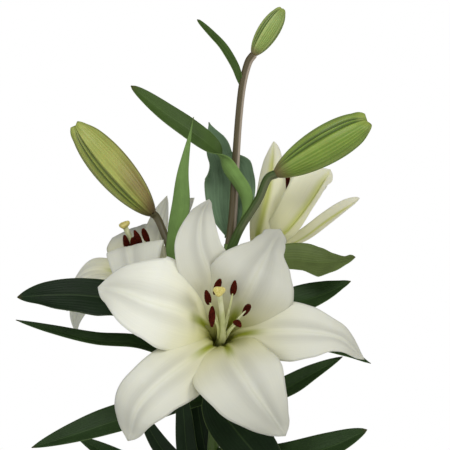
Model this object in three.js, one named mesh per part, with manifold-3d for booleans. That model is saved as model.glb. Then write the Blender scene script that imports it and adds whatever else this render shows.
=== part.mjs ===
// A cut lily stem with three white blooms, three buds and its leaves, standing in a glass vase of water.
// Millimetres, +Z up. The open bloom faces -Y. The origin is the middle of the vase's flat base.
import * as THREE from 'three';
import { mergeVertices } from 'three/addons/utils/BufferGeometryUtils.js';
import Module from 'manifold-3d';

const wasm = await Module();
wasm.setup();

// ------------------------------------------------------------------ driving dimensions

const GAP = 0.3;                    // left between pieces that touch
const VASE = { height: 218, wall: 3, floor: 12, foot: 33, lip: 1, hollowRise: 2, hollowCurve: 4,
  segments: 32, rows: 12 };
// Outside of the vase, as radius and height, from the foot to the lip.
const VASE_OUTSIDE = [[36, 1], [40, 7], [48, 29], [52, 60], [47.5, 98], [34, 138], [23.5, 170], [20.3, 190],
  [22, 206], [27, VASE.height - VASE.lip]];
const WATER_LEVEL = 128;
const STEM_HOLE_CLEARANCE = 0.4;

const PETAL = { thickness: 0.9, rows: 8, columns: 4, root: 0.16, turn: 0.4, bend: [1, -0.25] };
const LEAF = { thickness: 0.9, rows: 8, columns: 2, root: 0.25, turn: 0.5, bend: [0.7, 0.35] };
const BROAD = { rows: 10, columns: 4 };
const BLADE_TIP = 0.5;              // half the width that every blade keeps at its tip
const RECEPTACLE = { below: 4, above: 3, radius: 5, pedicelRadius: 3.4, rootRadius: 4 };
const PISTIL = { radii: [2.2, 2.2, 2, 1.7, 1.6, 1.5, 1.7], stigma: [3.6, 2.2, 3.6], straight: 30,
  bendReach: 0.4, bendHeight: 0.72 };
const STAMEN = { radii: [0.9, 1.4, 1.1, 0.8], rootAt: 1.4, rise: 0.6, straightAt: 2.6, straight: 24,
  bendReach: 0.5, bendHeight: 0.8, anther: [2.3, 7, 2.3] };
const BUD = { sides: 12, rows: 10, ribDepth: 0.05, ribs: 3, base: 0.03, end: 0.02, rise: 0.62, fall: 0.55 };

// How a blade's width runs from base to tip: t^p (1 - t)^q, drawn to its greatest width. Its trim then
// widens or narrows each half, as [share along, factor, factor]. Wave is the height, number and phase of
// the waves along its edges.
const INNER = { p: 1.1, q: 0.85 };
const OUTER = { p: 0.95, q: 0.9 };

// Each bloom stands on its base, along its axis. A place in it is a radius, degrees round the axis and a
// height along it. A tepal's path starts after its root, and an anther lies on its filament's end.
const BLOOMS = {
  front_bloom: {
    base: [21.6, -35, 336],
    axis: [0.11, -0.96, 0.26],
    tepals: [
      { ...INNER, width: 60, wave: [1.2, 1.1, 0.2],
        trim: [[0.2, 1, 1.05], [0.35, 1.08, 1.05], [0.5, 1.16, 0.95], [0.6, 1.17, 0.82], [0.7, 1.1, 0.78],
          [0.8, 0.97, 0.74], [0.9, 1, 0.7]],
        path: [[14, 147, 32], [32, 157, 54], [53, 161, 61], [74, 159, 54], [90, 159, 42]] },
      { ...OUTER, width: 35, bend: [1, 0.15], wave: [0.8, 1, 0.6],
        trim: [[0.3, 1, 1.1], [0.45, 0.95, 1.2], [0.6, 0.8, 1.05], [0.8, 0.75, 0.75], [0.9, 0.75, 0.85]],
        path: [[14, 99, 30], [37, 104, 50], [59, 106, 57], [79, 101, 54], [93, 95, 44]] },
      { p: 0.9, q: 0.95, width: 60, wave: [2.6, 1.5, 0.05],
        trim: [[0.3, 1.05, 1], [0.5, 1.02, 1], [0.62, 0.98, 0.94], [0.72, 0.82, 0.82], [0.8, 0.54, 0.7],
          [0.9, 0.7, 0.88], [0.97, 1.3, 1.7]],
        path: [[12, 61, 32], [26, 60, 54], [43, 61, 61], [63, 61, 55], [82, 61, 44]] },
      { ...OUTER, width: 36, wave: [0.8, 1, 0.3],
        trim: [[0.3, 1.1, 1.1], [0.48, 1.15, 1.15], [0.6, 1, 1], [0.74, 0.76, 0.78], [0.85, 0.78, 0.8]],
        path: [[12, 9, 30], [33, 0, 50], [57, -2, 56], [78, -4, 50], [96, -10, 36]] },
      { ...INNER, width: 62, wave: [1.4, 1.2, 0.45],
        trim: [[0.4, 1.12, 0.93], [0.6, 0.9, 0.86], [0.8, 0.82, 0.72], [0.9, 0.88, 0.7]],
        path: [[6.5, -74, 32], [22, -77, 54], [41, -71, 61], [60, -65, 55], [79, -61, 42]] },
      { p: 0.95, q: 0.7, width: 43, bend: [1, -0.6], wave: [0.8, 0.9, 0.8],
        trim: [[0.4, 1, 1.2], [0.6, 0.92, 0.97], [0.8, 1.06, 0.93], [0.9, 1.3, 0.9], [0.96, 1.5, 1]],
        path: [[10, -145, 30], [36, -143, 50], [63, -142, 56], [82, -139, 50], [96, -133, 36]] },
    ],
    anthers: [
      { at: [24, 122, 60], along: [-0.12, -0.72, 0.68] }, { at: [29, 102, 60], along: [0.3, -0.6, 0.74] },
      { at: [27, 80, 60], along: [0.13, -0.66, 0.74] }, { at: [18, 44, 60], along: [0.3, -0.78, 0.54] },
      { at: [8, 30, 56], along: [0.28, -0.94, -0.2] }, { at: [13, 140, 58], along: [0.02, -0.12, 0.99] },
    ],
    stigma: [22, 108, 76],
  },
  left_bloom: {
    base: [-19, 25, 357],
    axis: [-0.3, -0.45, 0.84],
    tepals: [
      { ...INNER, width: 46, wave: [1, 1, 0.2],
        trim: [[0.2, 1, 1.25], [0.35, 0.7, 1.3], [0.6, 0.5, 0.95], [0.8, 0.7, 0.9]],
        path: [[10, 120, 30], [18, 120, 46], [27, 120, 53], [38, 120, 52], [50, 120, 41], [60, 120, 26]] },
      { ...OUTER, width: 38,
        path: [[12, 200, 28], [27, 200, 43], [43, 200, 45], [57, 200, 35], [64, 201, 25], [66, 202, 17]] },
      { ...OUTER, width: 28, bend: [1, 0.5], trim: [[0.3, 0.7, 1], [0.5, 0.55, 1], [0.75, 0.85, 1]],
        path: [[10, 75, 30], [18, 75, 46], [28, 75, 60], [40, 75, 74]] },
      { ...INNER, width: 34, bend: [1, 0.2],
        trim: [[0.3, 0.35, 0.5], [0.6, 0.35, 0.42], [0.8, 0.5, 0.55], [0.95, 1, 1.2]],
        path: [[11, 45, 30], [22, 45, 46], [36, 42, 62], [50, 38, 77]] },
      { ...INNER, width: 50, wave: [1, 1, 0.7],
        trim: [[0.3, 0.8, 1], [0.5, 0.62, 1], [0.7, 0.65, 1], [0.9, 0.8, 1]],
        path: [[9, -60, 30], [15, -60, 52], [22, -60, 69], [33, -60, 71], [46, -60, 60], [56, -60, 42]] },
      { ...OUTER, width: 36, trim: [[0.7, 0.85, 0.85], [0.9, 0.75, 0.75]],
        path: [[11, -120, 30], [24, -120, 44], [38, -120, 48], [52, -120, 42], [61, -121, 31],
          [64, -122, 18]] },
    ],
    anthers: [
      { at: [6, 200, 60], along: [-0.15, -0.55, 0.8] }, { at: [4, 300, 60], along: [-0.2, -0.6, 0.78] },
      { at: [3.4, 60, 61], along: [-0.3, -0.5, 0.8] }, { at: [9, 42, 61], along: [-0.3, -0.5, 0.8] },
      { at: [5, 130, 55], along: [-0.1, 0.3, 0.95] }, { at: [6, 165, 56], along: [-0.3, 0.3, 0.85] },
    ],
    stigma: [7, 150, 72],
  },
  right_bloom: {
    base: [49.5, 50, 388.4],
    axis: [0.5, 0.2, 0.84],
    tepals: [
      { p: 0.7, q: 0.7, bend: [1.3, 1], width: 27,
        trim: [[0.15, 1.6, 1.1], [0.35, 1.7, 1.1], [0.6, 1.35, 0.95], [0.85, 1.3, 0.8]],
        path: [[20, 134, 12], [31, 134, 26], [38, 128, 46], [42, 117, 66], [44, 106, 81]] },
      { p: 0.8, q: 0.7, bend: [0.9, 0.3], width: 36,
        trim: [[0.15, 0.8, 0.6], [0.35, 0.9, 0.4], [0.6, 1.1, 0.22], [0.8, 1.4, 0.25], [0.93, 1.3, 0.7]],
        path: [[20, 160, 15], [33, 170, 31], [39, 173, 50], [39, 174, 69], [36, 175, 82]] },
      { p: 0.6, q: 0.55, bend: [0.9, 0.5], width: 17,
        path: [[9, 200, 16], [22, 214, 35], [31, 215, 52], [37, 219, 66], [42, 225, 79]] },
      { p: 0.9, q: 0.75, width: 30,
        path: [[9, 11, 20], [17, -2, 40], [18, -6, 56], [15, -12, 69], [8, -27, 79]] },
      { p: 0.9, q: 0.75, width: 24,
        path: [[10, 53, 14], [17, 44, 32], [22, 50, 51], [26, 57, 67], [29, 63, 78]] },
      { p: 0.9, q: 0.75, width: 24, trim: [[0.2, 0.5, 1], [0.5, 0.3, 1], [0.85, 0.3, 1]],
        path: [[5.5, -57, 19], [10, -55, 40], [13, -64, 57], [13, -81, 72], [11, -101, 83]] },
    ],
    anthers: [
      { at: [20, 118, 62], along: [0.35, 0.2, 0.9] }, { at: [17, 150, 60], along: [0.5, -0.1, 0.85] },
      { at: [10, 200, 58], along: [0.6, 0.1, 0.8] }, { at: [8, 260, 56], along: [0.6, 0.4, 0.7] },
      { at: [8, 330, 56], along: [0.5, 0.3, 0.8] }, { at: [12, 60, 58], along: [0.4, 0.2, 0.9] },
    ],
    stigma: [16, 89, 74],
  },
};

const BUDS = {
  right_bud: { base: [61.8, -13, 454.9], tip: [125.6, -24, 491.4], radius: 13.5, fall: 0.45 },
  left_bud: { base: [-24.5, 0, 427.6], tip: [-77.9, -12, 489.8], radius: 13.2 },
  top_bud: { base: [46.2, 0, 538.5], tip: [66.9, -2, 570.9], radius: 7.4 },
};

const STEM_SIDES = 8;
// The main stem leans from the vase's floor against its neck, and ends under the top bud.
const LOWER_STEM = { radii: [4.3, 4.2, 3.7], rows: 8,
  path: [[-1.4, 0, VASE.floor + 0.7], [8.4, 0, 139], [18, 0, 262], [23.6, 0, 336], [29.5, 0, 406]] };
const UPPER_STEM = { radii: [3.5, 2.8, 2.6, 2.7, 2.8], rows: 10,
  path: [[29, 0, 400], [32, 0, 427], [34, 1, 465], [36, 1, 494], [38.6, 0, 517]] };
// Each pedicel leaves the main stem and ends under its bloom or bud.
const PEDICELS = {
  front_bloom: { radius: 3, path: [[22.6, 0, 322], [20.6, -14, 327]] },
  left_bloom: { radius: 3, path: [[24.7, 0, 350], [14, 14, 343], [-2, 26, 341]] },
  right_bloom: { radius: 3, path: [[26.7, 0, 372], [31, 16, 370], [38, 34, 372]] },
  right_bud: { radius: 3, path: [[28.5, 0, 398], [37, -6, 417], [49.4, -10, 437]] },
  left_bud: { radius: 2.7, path: [[25.9, 0, 363.5], [8.7, 1, 374], [-8.2, -5, 396]] },
};
const PEDICEL_STRAIGHT = 7;         // the last stretch, in line with the bloom or bud

// A leaf follows its midrib from the stem to its tip. Its upper face looks to face[0] at the base and to
// face[1] at the tip, or past its twist, which runs between two shares of its length.
const LEVEL = { face: [[0, -0.6, 0.8], [0, -0.8, 0.6]] };
const RAISED = { face: [[0, -0.7, 0.7], [0, -0.8, 0.6]] };
const LEAVES = [
  { width: 6.4, p: 0.4, q: 0.4, face: [[-0.3, -0.6, 0.6], [0.2, -0.8, 0.5]],
    path: [[38, 0, 517], [34, -2, 529], [26, -4, 542], [17, -5, 552], [7, -4, 563]] },
  { width: 16, p: 1.5, q: 0.6, face: [[0.45, 0.85, 0.2], [0.3, -0.9, 0.25]], twist: [0.38, 0.65], rows: 20,
    trim: [[0.12, 1.7, 1.7], [0.25, 1.7, 1.7], [0.4, 1.1, 1.1], [0.6, 1, 1]],
    path: [[33, -2, 409], [40, -8, 426], [40, -10, 441], [30, -12, 457], [17, -11, 473.5], [2, -9, 485.5],
      [-17, -5, 499], [-39.5, 0, 517]] },
  { width: 13, p: 2, q: 1.4, face: [[0.1, 0.95, 0], [-0.1, 0.95, 0.1]], rows: 14,
    path: [[24, 0, 354], [2, 1, 372], [-9.5, -9.5, 396], [-7.5, -15.5, 414], [-4, -21, 434],
      [-2.2, -23, 458], [4.8, -24, 494]] },
  { width: 36, p: 0.7, q: 1.1, face: [[0.1, -0.95, 0.3], [0, -0.9, 0.2]], wave: [3, 1.6, 0.1], ...BROAD,
    trim: [[0.3, 1, 1], [0.5, 1.05, 1.05], [0.56, 1.12, 1.1], [0.7, 0.73, 0.73], [0.88, 1.35, 0.95]],
    path: [[30, 3, 410], [29.5, 8, 431], [29, 11, 453], [21.4, 12, 470], [15, 10, 492]] },
  { width: 27, p: 0.9, q: 0.8, ...LEVEL, wave: [1.5, 1.5, 0.3], ...BROAD,
    trim: [[0.4, 0.85, 1], [0.52, 0.95, 1], [0.64, 1.5, 0.85], [0.78, 1.2, 0.6], [0.9, 0.9, 0.35]],
    path: [[26, 3, 370], [47.5, 11, 386], [69, 14, 394], [91, 12, 393], [105, 9, 394], [118, 6, 397]] },
  { width: 25, p: 0.8, q: 0.85, ...LEVEL, trim: [[0.6, 1.1, 1], [0.8, 0.85, 1], [0.92, 0.75, 0.9]],
    path: [[25, 2, 344], [52.5, 10, 354], [76, 14, 364], [97, 13, 371], [115, 10, 380]] },
  { width: 18, p: 0.6, q: 0.8, ...RAISED,
    path: [[21.5, -1, 297], [47, 2, 297], [70, 6, 305], [88, 8, 315], [109, 6, 327]] },
  { width: 13, p: 0.6, q: 0.9, ...RAISED,
    path: [[24, 2, 330], [57, 12, 333], [88, 12, 335], [111, 4, 330], [128, -6, 323]] },
  { width: 24, p: 0.8, q: 0.7, ...RAISED,
    path: [[19, -2, 262], [44, -18, 257], [71, -26, 259], [98, -30, 267], [124, -30, 279]] },
  { width: 25, p: 1.4, q: 0.8, face: [[0, -0.7, 0.7], [0, -0.95, 0.3]], wave: [1.2, 2, 0.3],
    rows: 12, columns: 4,
    trim: [[0.5, 1, 1.15], [0.6, 1, 1.3], [0.7, 1, 1.15], [0.8, 1, 1.1], [0.9, 1, 0.9]],
    path: [[24, 0, 314], [0, -14, 334], [-24, -23, 352], [-46, -28, 366.5], [-70, -31, 371],
      [-94, -33, 371.3], [-116, -34, 370]] },
  { width: 13, p: 0.5, q: 0.8, ...LEVEL,
    path: [[22, -1, 307], [-5, -10, 325], [-32, -16, 337], [-63, -20, 340], [-93, -22, 347],
      [-118, -22, 354]] },
  { width: 24, p: 0.6, q: 0.8, ...RAISED,
    path: [[21, -2, 298], [-13, -8, 293], [-48, -16, 284], [-76, -22, 275.5], [-107, -24, 266]] },
  { width: 19, p: 0.6, q: 0.8, ...RAISED,
    path: [[17, 2, 219], [-8, 12, 230], [-34, 18, 243.5], [-58, 22, 257], [-80, 24, 270]] },
  { width: 15, p: 0.6, q: 0.8, face: [[0.3, -0.9, 0.3], [0.3, -0.9, 0.3]],
    path: [[17, -3, 236], [1, -10, 246], [-14, -16, 260], [-25, -22, 277], [-33, -26, 296]] },
  { width: 15, p: 0.6, q: 0.8, face: [[0.1, -0.95, 0.1], [0.1, -0.95, 0.1]],
    path: [[17, 0, 224], [7, -8, 240], [0, -13, 262], [-2.5, -18, 291], [-5, -22, 313]] },
  { width: 37, p: 0.6, q: 0.6, face: [[0.2, -0.9, 0.3], [0.2, -0.9, 0.3]], columns: 4,
    path: [[17, -4, 304], [24, -15, 290], [36, -24, 275], [51, -28, 258], [69, -30, 238]] },
  { width: 22, p: 0.6, q: 0.8, face: [[-0.2, -0.95, 0.1], [-0.2, -0.95, 0.1]],
    path: [[17, 3, 240], [13, 11, 258], [9.5, 15, 276], [7, 16, 294], [6, 12, 312]] },
  // Three leaves behind, which the blooms hide from the front.
  { width: 19, p: 0.6, q: 0.8, face: [[0, 0.6, 0.8], [0, 0.6, 0.8]],
    path: [[24, 3, 345], [29, 25, 353], [33, 50, 352], [36, 78, 338]] },
  { width: 18, p: 0.6, q: 0.8, face: [[-0.2, 0.6, 0.8], [0, 0.6, 0.8]],
    path: [[20, 3, 290], [11, 25, 300], [3, 50, 303], [-2, 76, 293]] },
  { width: 17, p: 0.6, q: 0.8, face: [[0.3, 0.6, 0.8], [0.2, 0.6, 0.8]],
    path: [[22, 2, 315], [36, 22, 323], [49, 42, 324], [60, 62, 314]] },
];

const COLOURS = {
  glass: { color: 0xdfe9e6, roughness: 0.03, metalness: 0, transparent: true, opacity: 0.35 },
  water: { color: 0xd3e4e2, roughness: 0.02, metalness: 0, transparent: true, opacity: 0.35 },
  leaf: { color: 0x2f4d2a, roughness: 0.5, metalness: 0 },
  petal: { color: 0xf1f0e8, roughness: 0.55, metalness: 0 },
  half_open_petal: { color: 0xeeecc4, roughness: 0.55, metalness: 0 },
  stamen: { color: 0x5a2418, roughness: 0.8, metalness: 0 },
  bud: { color: 0x7d9440, roughness: 0.5, metalness: 0 },
};

// ------------------------------------------------------------------ solids

const UP = new THREE.Vector3(0, 0, 1);
const vector = (place) => new THREE.Vector3(...place);
const pathThrough = (places) => new THREE.CatmullRomCurve3(places.map(vector), false, 'catmullrom', 0.5);

// Turns a closed geometry into a solid, with its faces pointing out.
function solidOf(geometry) {
  const bare = new THREE.BufferGeometry();
  bare.setAttribute('position', geometry.attributes.position);
  bare.setIndex(geometry.index);
  const merged = mergeVertices(bare, 1e-4);
  const places = merged.attributes.position.array;
  const point = (index) => vector(places.subarray(3 * index, 3 * index + 3));
  const triangles = [];
  let volume = 0;
  for (let start = 0; start < merged.index.count; start += 3) {
    const [a, b, c] = merged.index.array.subarray(start, start + 3);
    if (a === b || b === c || c === a) continue;
    triangles.push([a, b, c]);
    volume += point(a).dot(point(b).cross(point(c)));
  }
  if (volume < 0) triangles.forEach((triangle) => triangle.reverse());
  const mesh = { numProp: 3, vertProperties: places, triVerts: new Uint32Array(triangles.flat()) };
  return new wasm.Manifold(new wasm.Mesh(mesh));
}

// Joins solids into one body. What the union seals off inside, and any loose scrap, is dropped.
function fuse(solids) {
  const joined = solids.reduce((sum, next) => sum.add(next));
  const bodies = joined.decompose().sort((one, other) => other.volume() - one.volume());
  return bodies[0];
}

function geometryOf(solid) {
  const mesh = solid.getMesh();
  const geometry = new THREE.BufferGeometry();
  geometry.setAttribute('position', new THREE.BufferAttribute(new Float32Array(mesh.vertProperties), 3));
  geometry.setIndex(new THREE.BufferAttribute(new Uint32Array(mesh.triVerts), 1));
  geometry.computeVertexNormals();
  return geometry;
}

// A round bar bent along a curve. radiusAt gives its radius from the share of the length and the angle
// round it.
function bar(curve, radiusAt, sides, rows) {
  const frames = curve.computeFrenetFrames(rows, false);
  const geometry = new THREE.CylinderGeometry(1, 1, 1, sides, rows);
  const places = geometry.attributes.position;
  for (let index = 0; index < places.count; index += 1) {
    const share = THREE.MathUtils.clamp(places.getY(index) + 0.5, 0, 1);
    const row = Math.round(share * rows);
    const [x, z] = [places.getX(index), places.getZ(index)];
    const reach = Math.hypot(x, z) * radiusAt(share, Math.atan2(z, x));
    const angle = Math.atan2(z, x);
    const place = curve.getPointAt(share);
    place.addScaledVector(frames.normals[row], reach * Math.cos(angle));
    place.addScaledVector(frames.binormals[row], reach * Math.sin(angle));
    places.setXYZ(index, place.x, place.y, place.z);
  }
  return solidOf(geometry);
}

const alongRadii = (radii) => (share) => {
  const step = Math.min(Math.floor(share * (radii.length - 1)), radii.length - 2);
  return THREE.MathUtils.lerp(radii[step], radii[step + 1], share * (radii.length - 1) - step);
};

function ball(place, radii, direction, across, down) {
  const geometry = new THREE.SphereGeometry(1, across, down);
  geometry.scale(...radii);
  geometry.applyQuaternion(new THREE.Quaternion().setFromUnitVectors(new THREE.Vector3(0, 1, 0), direction));
  geometry.translate(place.x, place.y, place.z);
  return solidOf(geometry);
}

// ------------------------------------------------------------------ blades: petals and leaves

function widthShare(t, { p, q, root }) {
  const widest = p / (p + q);
  const share = (t ** p * (1 - t) ** q) / (widest ** p * (1 - widest) ** q);
  return Math.max(share, root * Math.sqrt(1 - t) * Math.max(0, 1 - t / widest));
}

// What the rule's width is multiplied by, on the side that s lies on.
function trimAt(t, s, trim) {
  const stations = [[0, 1, 1], ...trim, [1, 1, 1]];
  const next = Math.max(1, stations.findIndex(([at]) => at >= t));
  const [before, after] = [stations[next - 1], stations[next]];
  const even = (t - before[0]) / (after[0] - before[0]);
  const side = s < 0 ? 1 : 2;
  const share = (even + THREE.MathUtils.smoothstep(even, 0, 1)) / 2;
  return THREE.MathUtils.lerp(before[side], after[side], share);
}

function tangentAt(curve, t) {
  const step = 1e-3;
  const ahead = curve.getPoint(Math.min(t + step, 1));
  return ahead.sub(curve.getPoint(Math.max(t - step, 0))).normalize();
}

// The places of a blade's middle surface, row by row, bent across its width as an arc.
function bladePlaces(curve, sideAt, shape) {
  const [height, count, phase] = shape.wave ?? [0, 0, 0];
  const rows = [];
  for (let row = 0; row <= shape.rows; row += 1) {
    const t = row / shape.rows;
    const share = widthShare(t, shape);
    const half = Math.max((shape.width / 2) * share, BLADE_TIP);
    const bent = THREE.MathUtils.smoothstep(t, 0, shape.turn);
    const bend = THREE.MathUtils.lerp(shape.bend[0], shape.bend[1], bent) || 1e-3;
    const tangent = tangentAt(curve, t);
    const side = sideAt(t, tangent);
    side.addScaledVector(tangent, -side.dot(tangent)).normalize();
    const normal = new THREE.Vector3().crossVectors(tangent, side);
    const places = [];
    for (let column = 0; column <= shape.columns; column += 1) {
      const s = (2 * column) / shape.columns - 1;
      const wide = Math.max(half * trimAt(t, s, shape.trim ?? []), BLADE_TIP);
      const turn = 2 * Math.PI * (count * t + phase) + (s > 0 ? 1.3 : 0);
      const wave = height * share * Math.abs(s) ** 3 * Math.sin(turn);
      const place = curve.getPoint(t);
      place.addScaledVector(side, (wide * Math.sin(bend * s)) / bend);
      places.push(place.addScaledVector(normal, (wide * (1 - Math.cos(bend * s))) / bend + wave));
    }
    rows.push(places);
  }
  return rows;
}

// A closed sheet of even thickness round a grid of places, split into triangles alike on both faces.
function sheet(rows, thickness) {
  const [height, width] = [rows.length, rows[0].length];
  const within = (index, count) => THREE.MathUtils.clamp(index, 0, count - 1);
  const at = (row, column) => rows[within(row, height)][within(column, width)];
  const places = [];
  for (const side of [1, -1]) {
    for (let row = 0; row < height; row += 1) {
      for (let column = 0; column < width; column += 1) {
        const along = at(row + 1, column).clone().sub(at(row - 1, column));
        const across = at(row, column + 1).clone().sub(at(row, column - 1));
        const normal = along.cross(across).normalize();
        places.push(...at(row, column).clone().addScaledVector(normal, (side * thickness) / 2).toArray());
      }
    }
  }
  const upper = (row, column) => row * width + column;
  const lower = (row, column) => height * width + upper(row, column);
  const triangles = [];
  for (let row = 0; row < height - 1; row += 1) {
    for (let column = 0; column < width - 1; column += 1) {
      const ring = [[row, column], [row + 1, column], [row + 1, column + 1], [row, column + 1]];
      if (column >= (width - 1) / 2) ring.push(ring.shift());
      const [a, b, c, d] = ring.map((place) => upper(...place));
      triangles.push(a, b, d, b, c, d);
      const [e, f, g, h] = ring.map((place) => lower(...place));
      triangles.push(e, h, f, f, h, g);
    }
  }
  const strip = (one, other) => triangles.push(upper(...one), lower(...one), upper(...other),
    upper(...other), lower(...one), lower(...other));
  for (let row = 0; row < height - 1; row += 1) {
    strip([row, 0], [row + 1, 0]);
    strip([row + 1, width - 1], [row, width - 1]);
  }
  for (let column = 0; column < width - 1; column += 1) {
    strip([0, column + 1], [0, column]);
    strip([height - 1, column], [height - 1, column + 1]);
  }
  const geometry = new THREE.BufferGeometry();
  geometry.setAttribute('position', new THREE.BufferAttribute(new Float32Array(places), 3));
  geometry.setIndex(triangles);
  return solidOf(geometry);
}

function leaf(given) {
  const shape = { ...LEAF, ...given };
  const [baseFace, tipFace] = shape.face.map(vector);
  const twistAt = (t) => (shape.twist ? THREE.MathUtils.smoothstep(t, ...shape.twist) : t);
  const sideAt = (t, tangent) => baseFace.clone().lerp(tipFace, twistAt(t)).cross(tangent);
  return sheet(bladePlaces(pathThrough(shape.path), sideAt, shape), shape.thickness);
}

// ------------------------------------------------------------------ blooms

// The frame of a bloom: places are given as radius, degrees round the axis, and height along it.
class Bloom {
  constructor({ base, axis }) {
    this.base = vector(base);
    this.axis = vector(axis).normalize();
    this.right = UP.clone().cross(this.axis).normalize();
    this.up = this.axis.clone().cross(this.right);
  }

  radial(degrees) {
    const angle = THREE.MathUtils.degToRad(degrees);
    return this.right.clone().multiplyScalar(Math.cos(angle)).addScaledVector(this.up, Math.sin(angle));
  }

  place([radius, degrees, height]) {
    return this.base.clone().addScaledVector(this.radial(degrees), radius).addScaledVector(this.axis, height);
  }

  curve(places) {
    return new THREE.CatmullRomCurve3(places.map((place) => this.place(place)), false, 'catmullrom', 0.5);
  }
}

function tepal(bloom, given) {
  const shape = { ...PETAL, ...given };
  const path = [[RECEPTACLE.rootRadius, shape.path[0][1], 0], ...shape.path];
  const side = bloom.axis.clone().cross(bloom.radial(path[3][1]));
  return sheet(bladePlaces(bloom.curve(path), () => side.clone(), shape), shape.thickness);
}

function petals(bloom, given) {
  const { below, above, radius, pedicelRadius } = RECEPTACLE;
  const middle = bloom.curve([[0, 0, -below], [0, 0, above]]);
  const receptacle = bar(middle, alongRadii([pedicelRadius, radius, radius]), STEM_SIDES, 2);
  return fuse([receptacle, ...given.tepals.map((one) => tepal(bloom, one))]);
}

// Six stamens and the pistil, joined on a small disc inside the bloom's throat.
function stamens(bloom, given) {
  const foot = RECEPTACLE.above + GAP;
  const [reach, degrees, height] = given.stigma;
  const bend = [PISTIL.bendReach * reach, degrees, PISTIL.bendHeight * height];
  const style = bloom.curve([[0, 0, foot], [0, degrees, PISTIL.straight], bend, given.stigma]);
  const solids = [bar(style, alongRadii(PISTIL.radii), 6, 8)];
  solids.push(ball(style.getPointAt(1), PISTIL.stigma, style.getTangentAt(1), 6, 4));
  given.anthers.forEach(({ at: [out, turn, rise], along }) => {
    const root = [STAMEN.rootAt, turn, foot + STAMEN.rise];
    const knee = [STAMEN.bendReach * out, turn, STAMEN.bendHeight * rise];
    const straight = [STAMEN.straightAt, turn, STAMEN.straight];
    const filament = bloom.curve([root, straight, knee, [out, turn, rise]]);
    solids.push(bar(filament, alongRadii(STAMEN.radii), 4, 5));
    solids.push(ball(filament.getPointAt(1), STAMEN.anther, vector(along).normalize(), 6, 4));
  });
  return fuse(solids);
}

// ------------------------------------------------------------------ buds and stem

function bud({ base, tip, radius, fall = BUD.fall }) {
  const share = (t) => (t + BUD.base) ** BUD.rise * (1 + BUD.end - t) ** fall;
  const fullest = share((BUD.rise * (1 + BUD.end) - fall * BUD.base) / (BUD.rise + fall));
  const rib = (angle) => 1 + BUD.ribDepth * Math.cos(BUD.ribs * angle);
  const radiusAt = (t, angle) => (radius * share(t) * rib(angle)) / fullest;
  return bar(new THREE.LineCurve3(vector(base), vector(tip)), radiusAt, BUD.sides, BUD.rows);
}

// Where a pedicel ends, and the direction that it ends in.
function seatOf(name) {
  if (name in BUDS) {
    const base = vector(BUDS[name].base);
    return { place: base, direction: vector(BUDS[name].tip).sub(base).normalize() };
  }
  const bloom = new Bloom(BLOOMS[name]);
  return { place: bloom.place([0, 0, -RECEPTACLE.below]), direction: bloom.axis };
}

function stemTo(path, name) {
  const { place, direction } = seatOf(name);
  const straight = place.clone().addScaledVector(direction, -PEDICEL_STRAIGHT);
  const end = place.clone().addScaledVector(direction, -GAP);
  return pathThrough([...path, straight.toArray(), end.toArray()]);
}

function leafyStem() {
  const solids = [
    bar(pathThrough(LOWER_STEM.path), alongRadii(LOWER_STEM.radii), STEM_SIDES, LOWER_STEM.rows),
    bar(stemTo(UPPER_STEM.path, 'top_bud'), alongRadii(UPPER_STEM.radii), STEM_SIDES, UPPER_STEM.rows),
  ];
  for (const [name, { radius, path }] of Object.entries(PEDICELS)) {
    solids.push(bar(stemTo(path, name), () => radius, STEM_SIDES, 8));
  }
  return fuse([...solids, ...LEAVES.map(leaf)]);
}

// ------------------------------------------------------------------ vase and water

// Places on the vase's side, moved inward from its outside, from the foot up.
function wallPlaces(inward) {
  const outside = new THREE.SplineCurve(VASE_OUTSIDE.map((place) => new THREE.Vector2(...place)));
  const places = [];
  for (let row = 0; row <= VASE.rows; row += 1) {
    const tangent = outside.getTangent(row / VASE.rows);
    const place = outside.getPoint(row / VASE.rows);
    places.push(new THREE.Vector2(place.x - inward * tangent.y, place.y + inward * tangent.x));
  }
  return places;
}

function turned(profile) {
  return solidOf(new THREE.LatheGeometry(profile, VASE.segments).rotateX(Math.PI / 2));
}

function vase() {
  const outside = wallPlaces(0);
  const inside = wallPlaces(VASE.wall).filter((place) => place.y > VASE.floor + VASE.hollowRise);
  const lip = outside.at(-1).clone().lerp(inside.at(-1), 0.5);
  lip.y += VASE.lip;
  return turned([
    new THREE.Vector2(0, 0), new THREE.Vector2(VASE.foot, 0), ...outside, lip, ...inside.toReversed(),
    new THREE.Vector2(inside[0].x - VASE.hollowCurve, VASE.floor), new THREE.Vector2(0, VASE.floor),
  ]);
}

function water() {
  const wall = wallPlaces(VASE.wall + GAP).filter((place) => place.y > VASE.floor + VASE.hollowRise);
  const bottom = VASE.floor + GAP;
  const wet = wall.filter((place) => place.y < WATER_LEVEL);
  const [below, above] = [wet.at(-1), wall[wet.length]];
  const surface = below.clone().lerp(above, (WATER_LEVEL - below.y) / (above.y - below.y));
  const body = turned([
    new THREE.Vector2(0, bottom), new THREE.Vector2(wet[0].x - VASE.hollowCurve, bottom), ...wet, surface,
    new THREE.Vector2(0, WATER_LEVEL),
  ]);
  const [foot, ...rest] = LOWER_STEM.path;
  const deeper = vector(foot).multiplyScalar(2).sub(vector(rest[0])).lerp(vector(foot), 0.9);
  const hole = pathThrough([deeper.toArray(), ...LOWER_STEM.path.slice(0, 3)]);
  return body.subtract(bar(hole, () => LOWER_STEM.radii[0] + STEM_HOLE_CLEARANCE, STEM_SIDES, 6));
}

// ------------------------------------------------------------------ the part

const part = new THREE.Group();

function add(name, solid, colour) {
  const mesh = new THREE.Mesh(geometryOf(solid), new THREE.MeshStandardMaterial(COLOURS[colour]));
  mesh.name = name;
  part.add(mesh);
}

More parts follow.
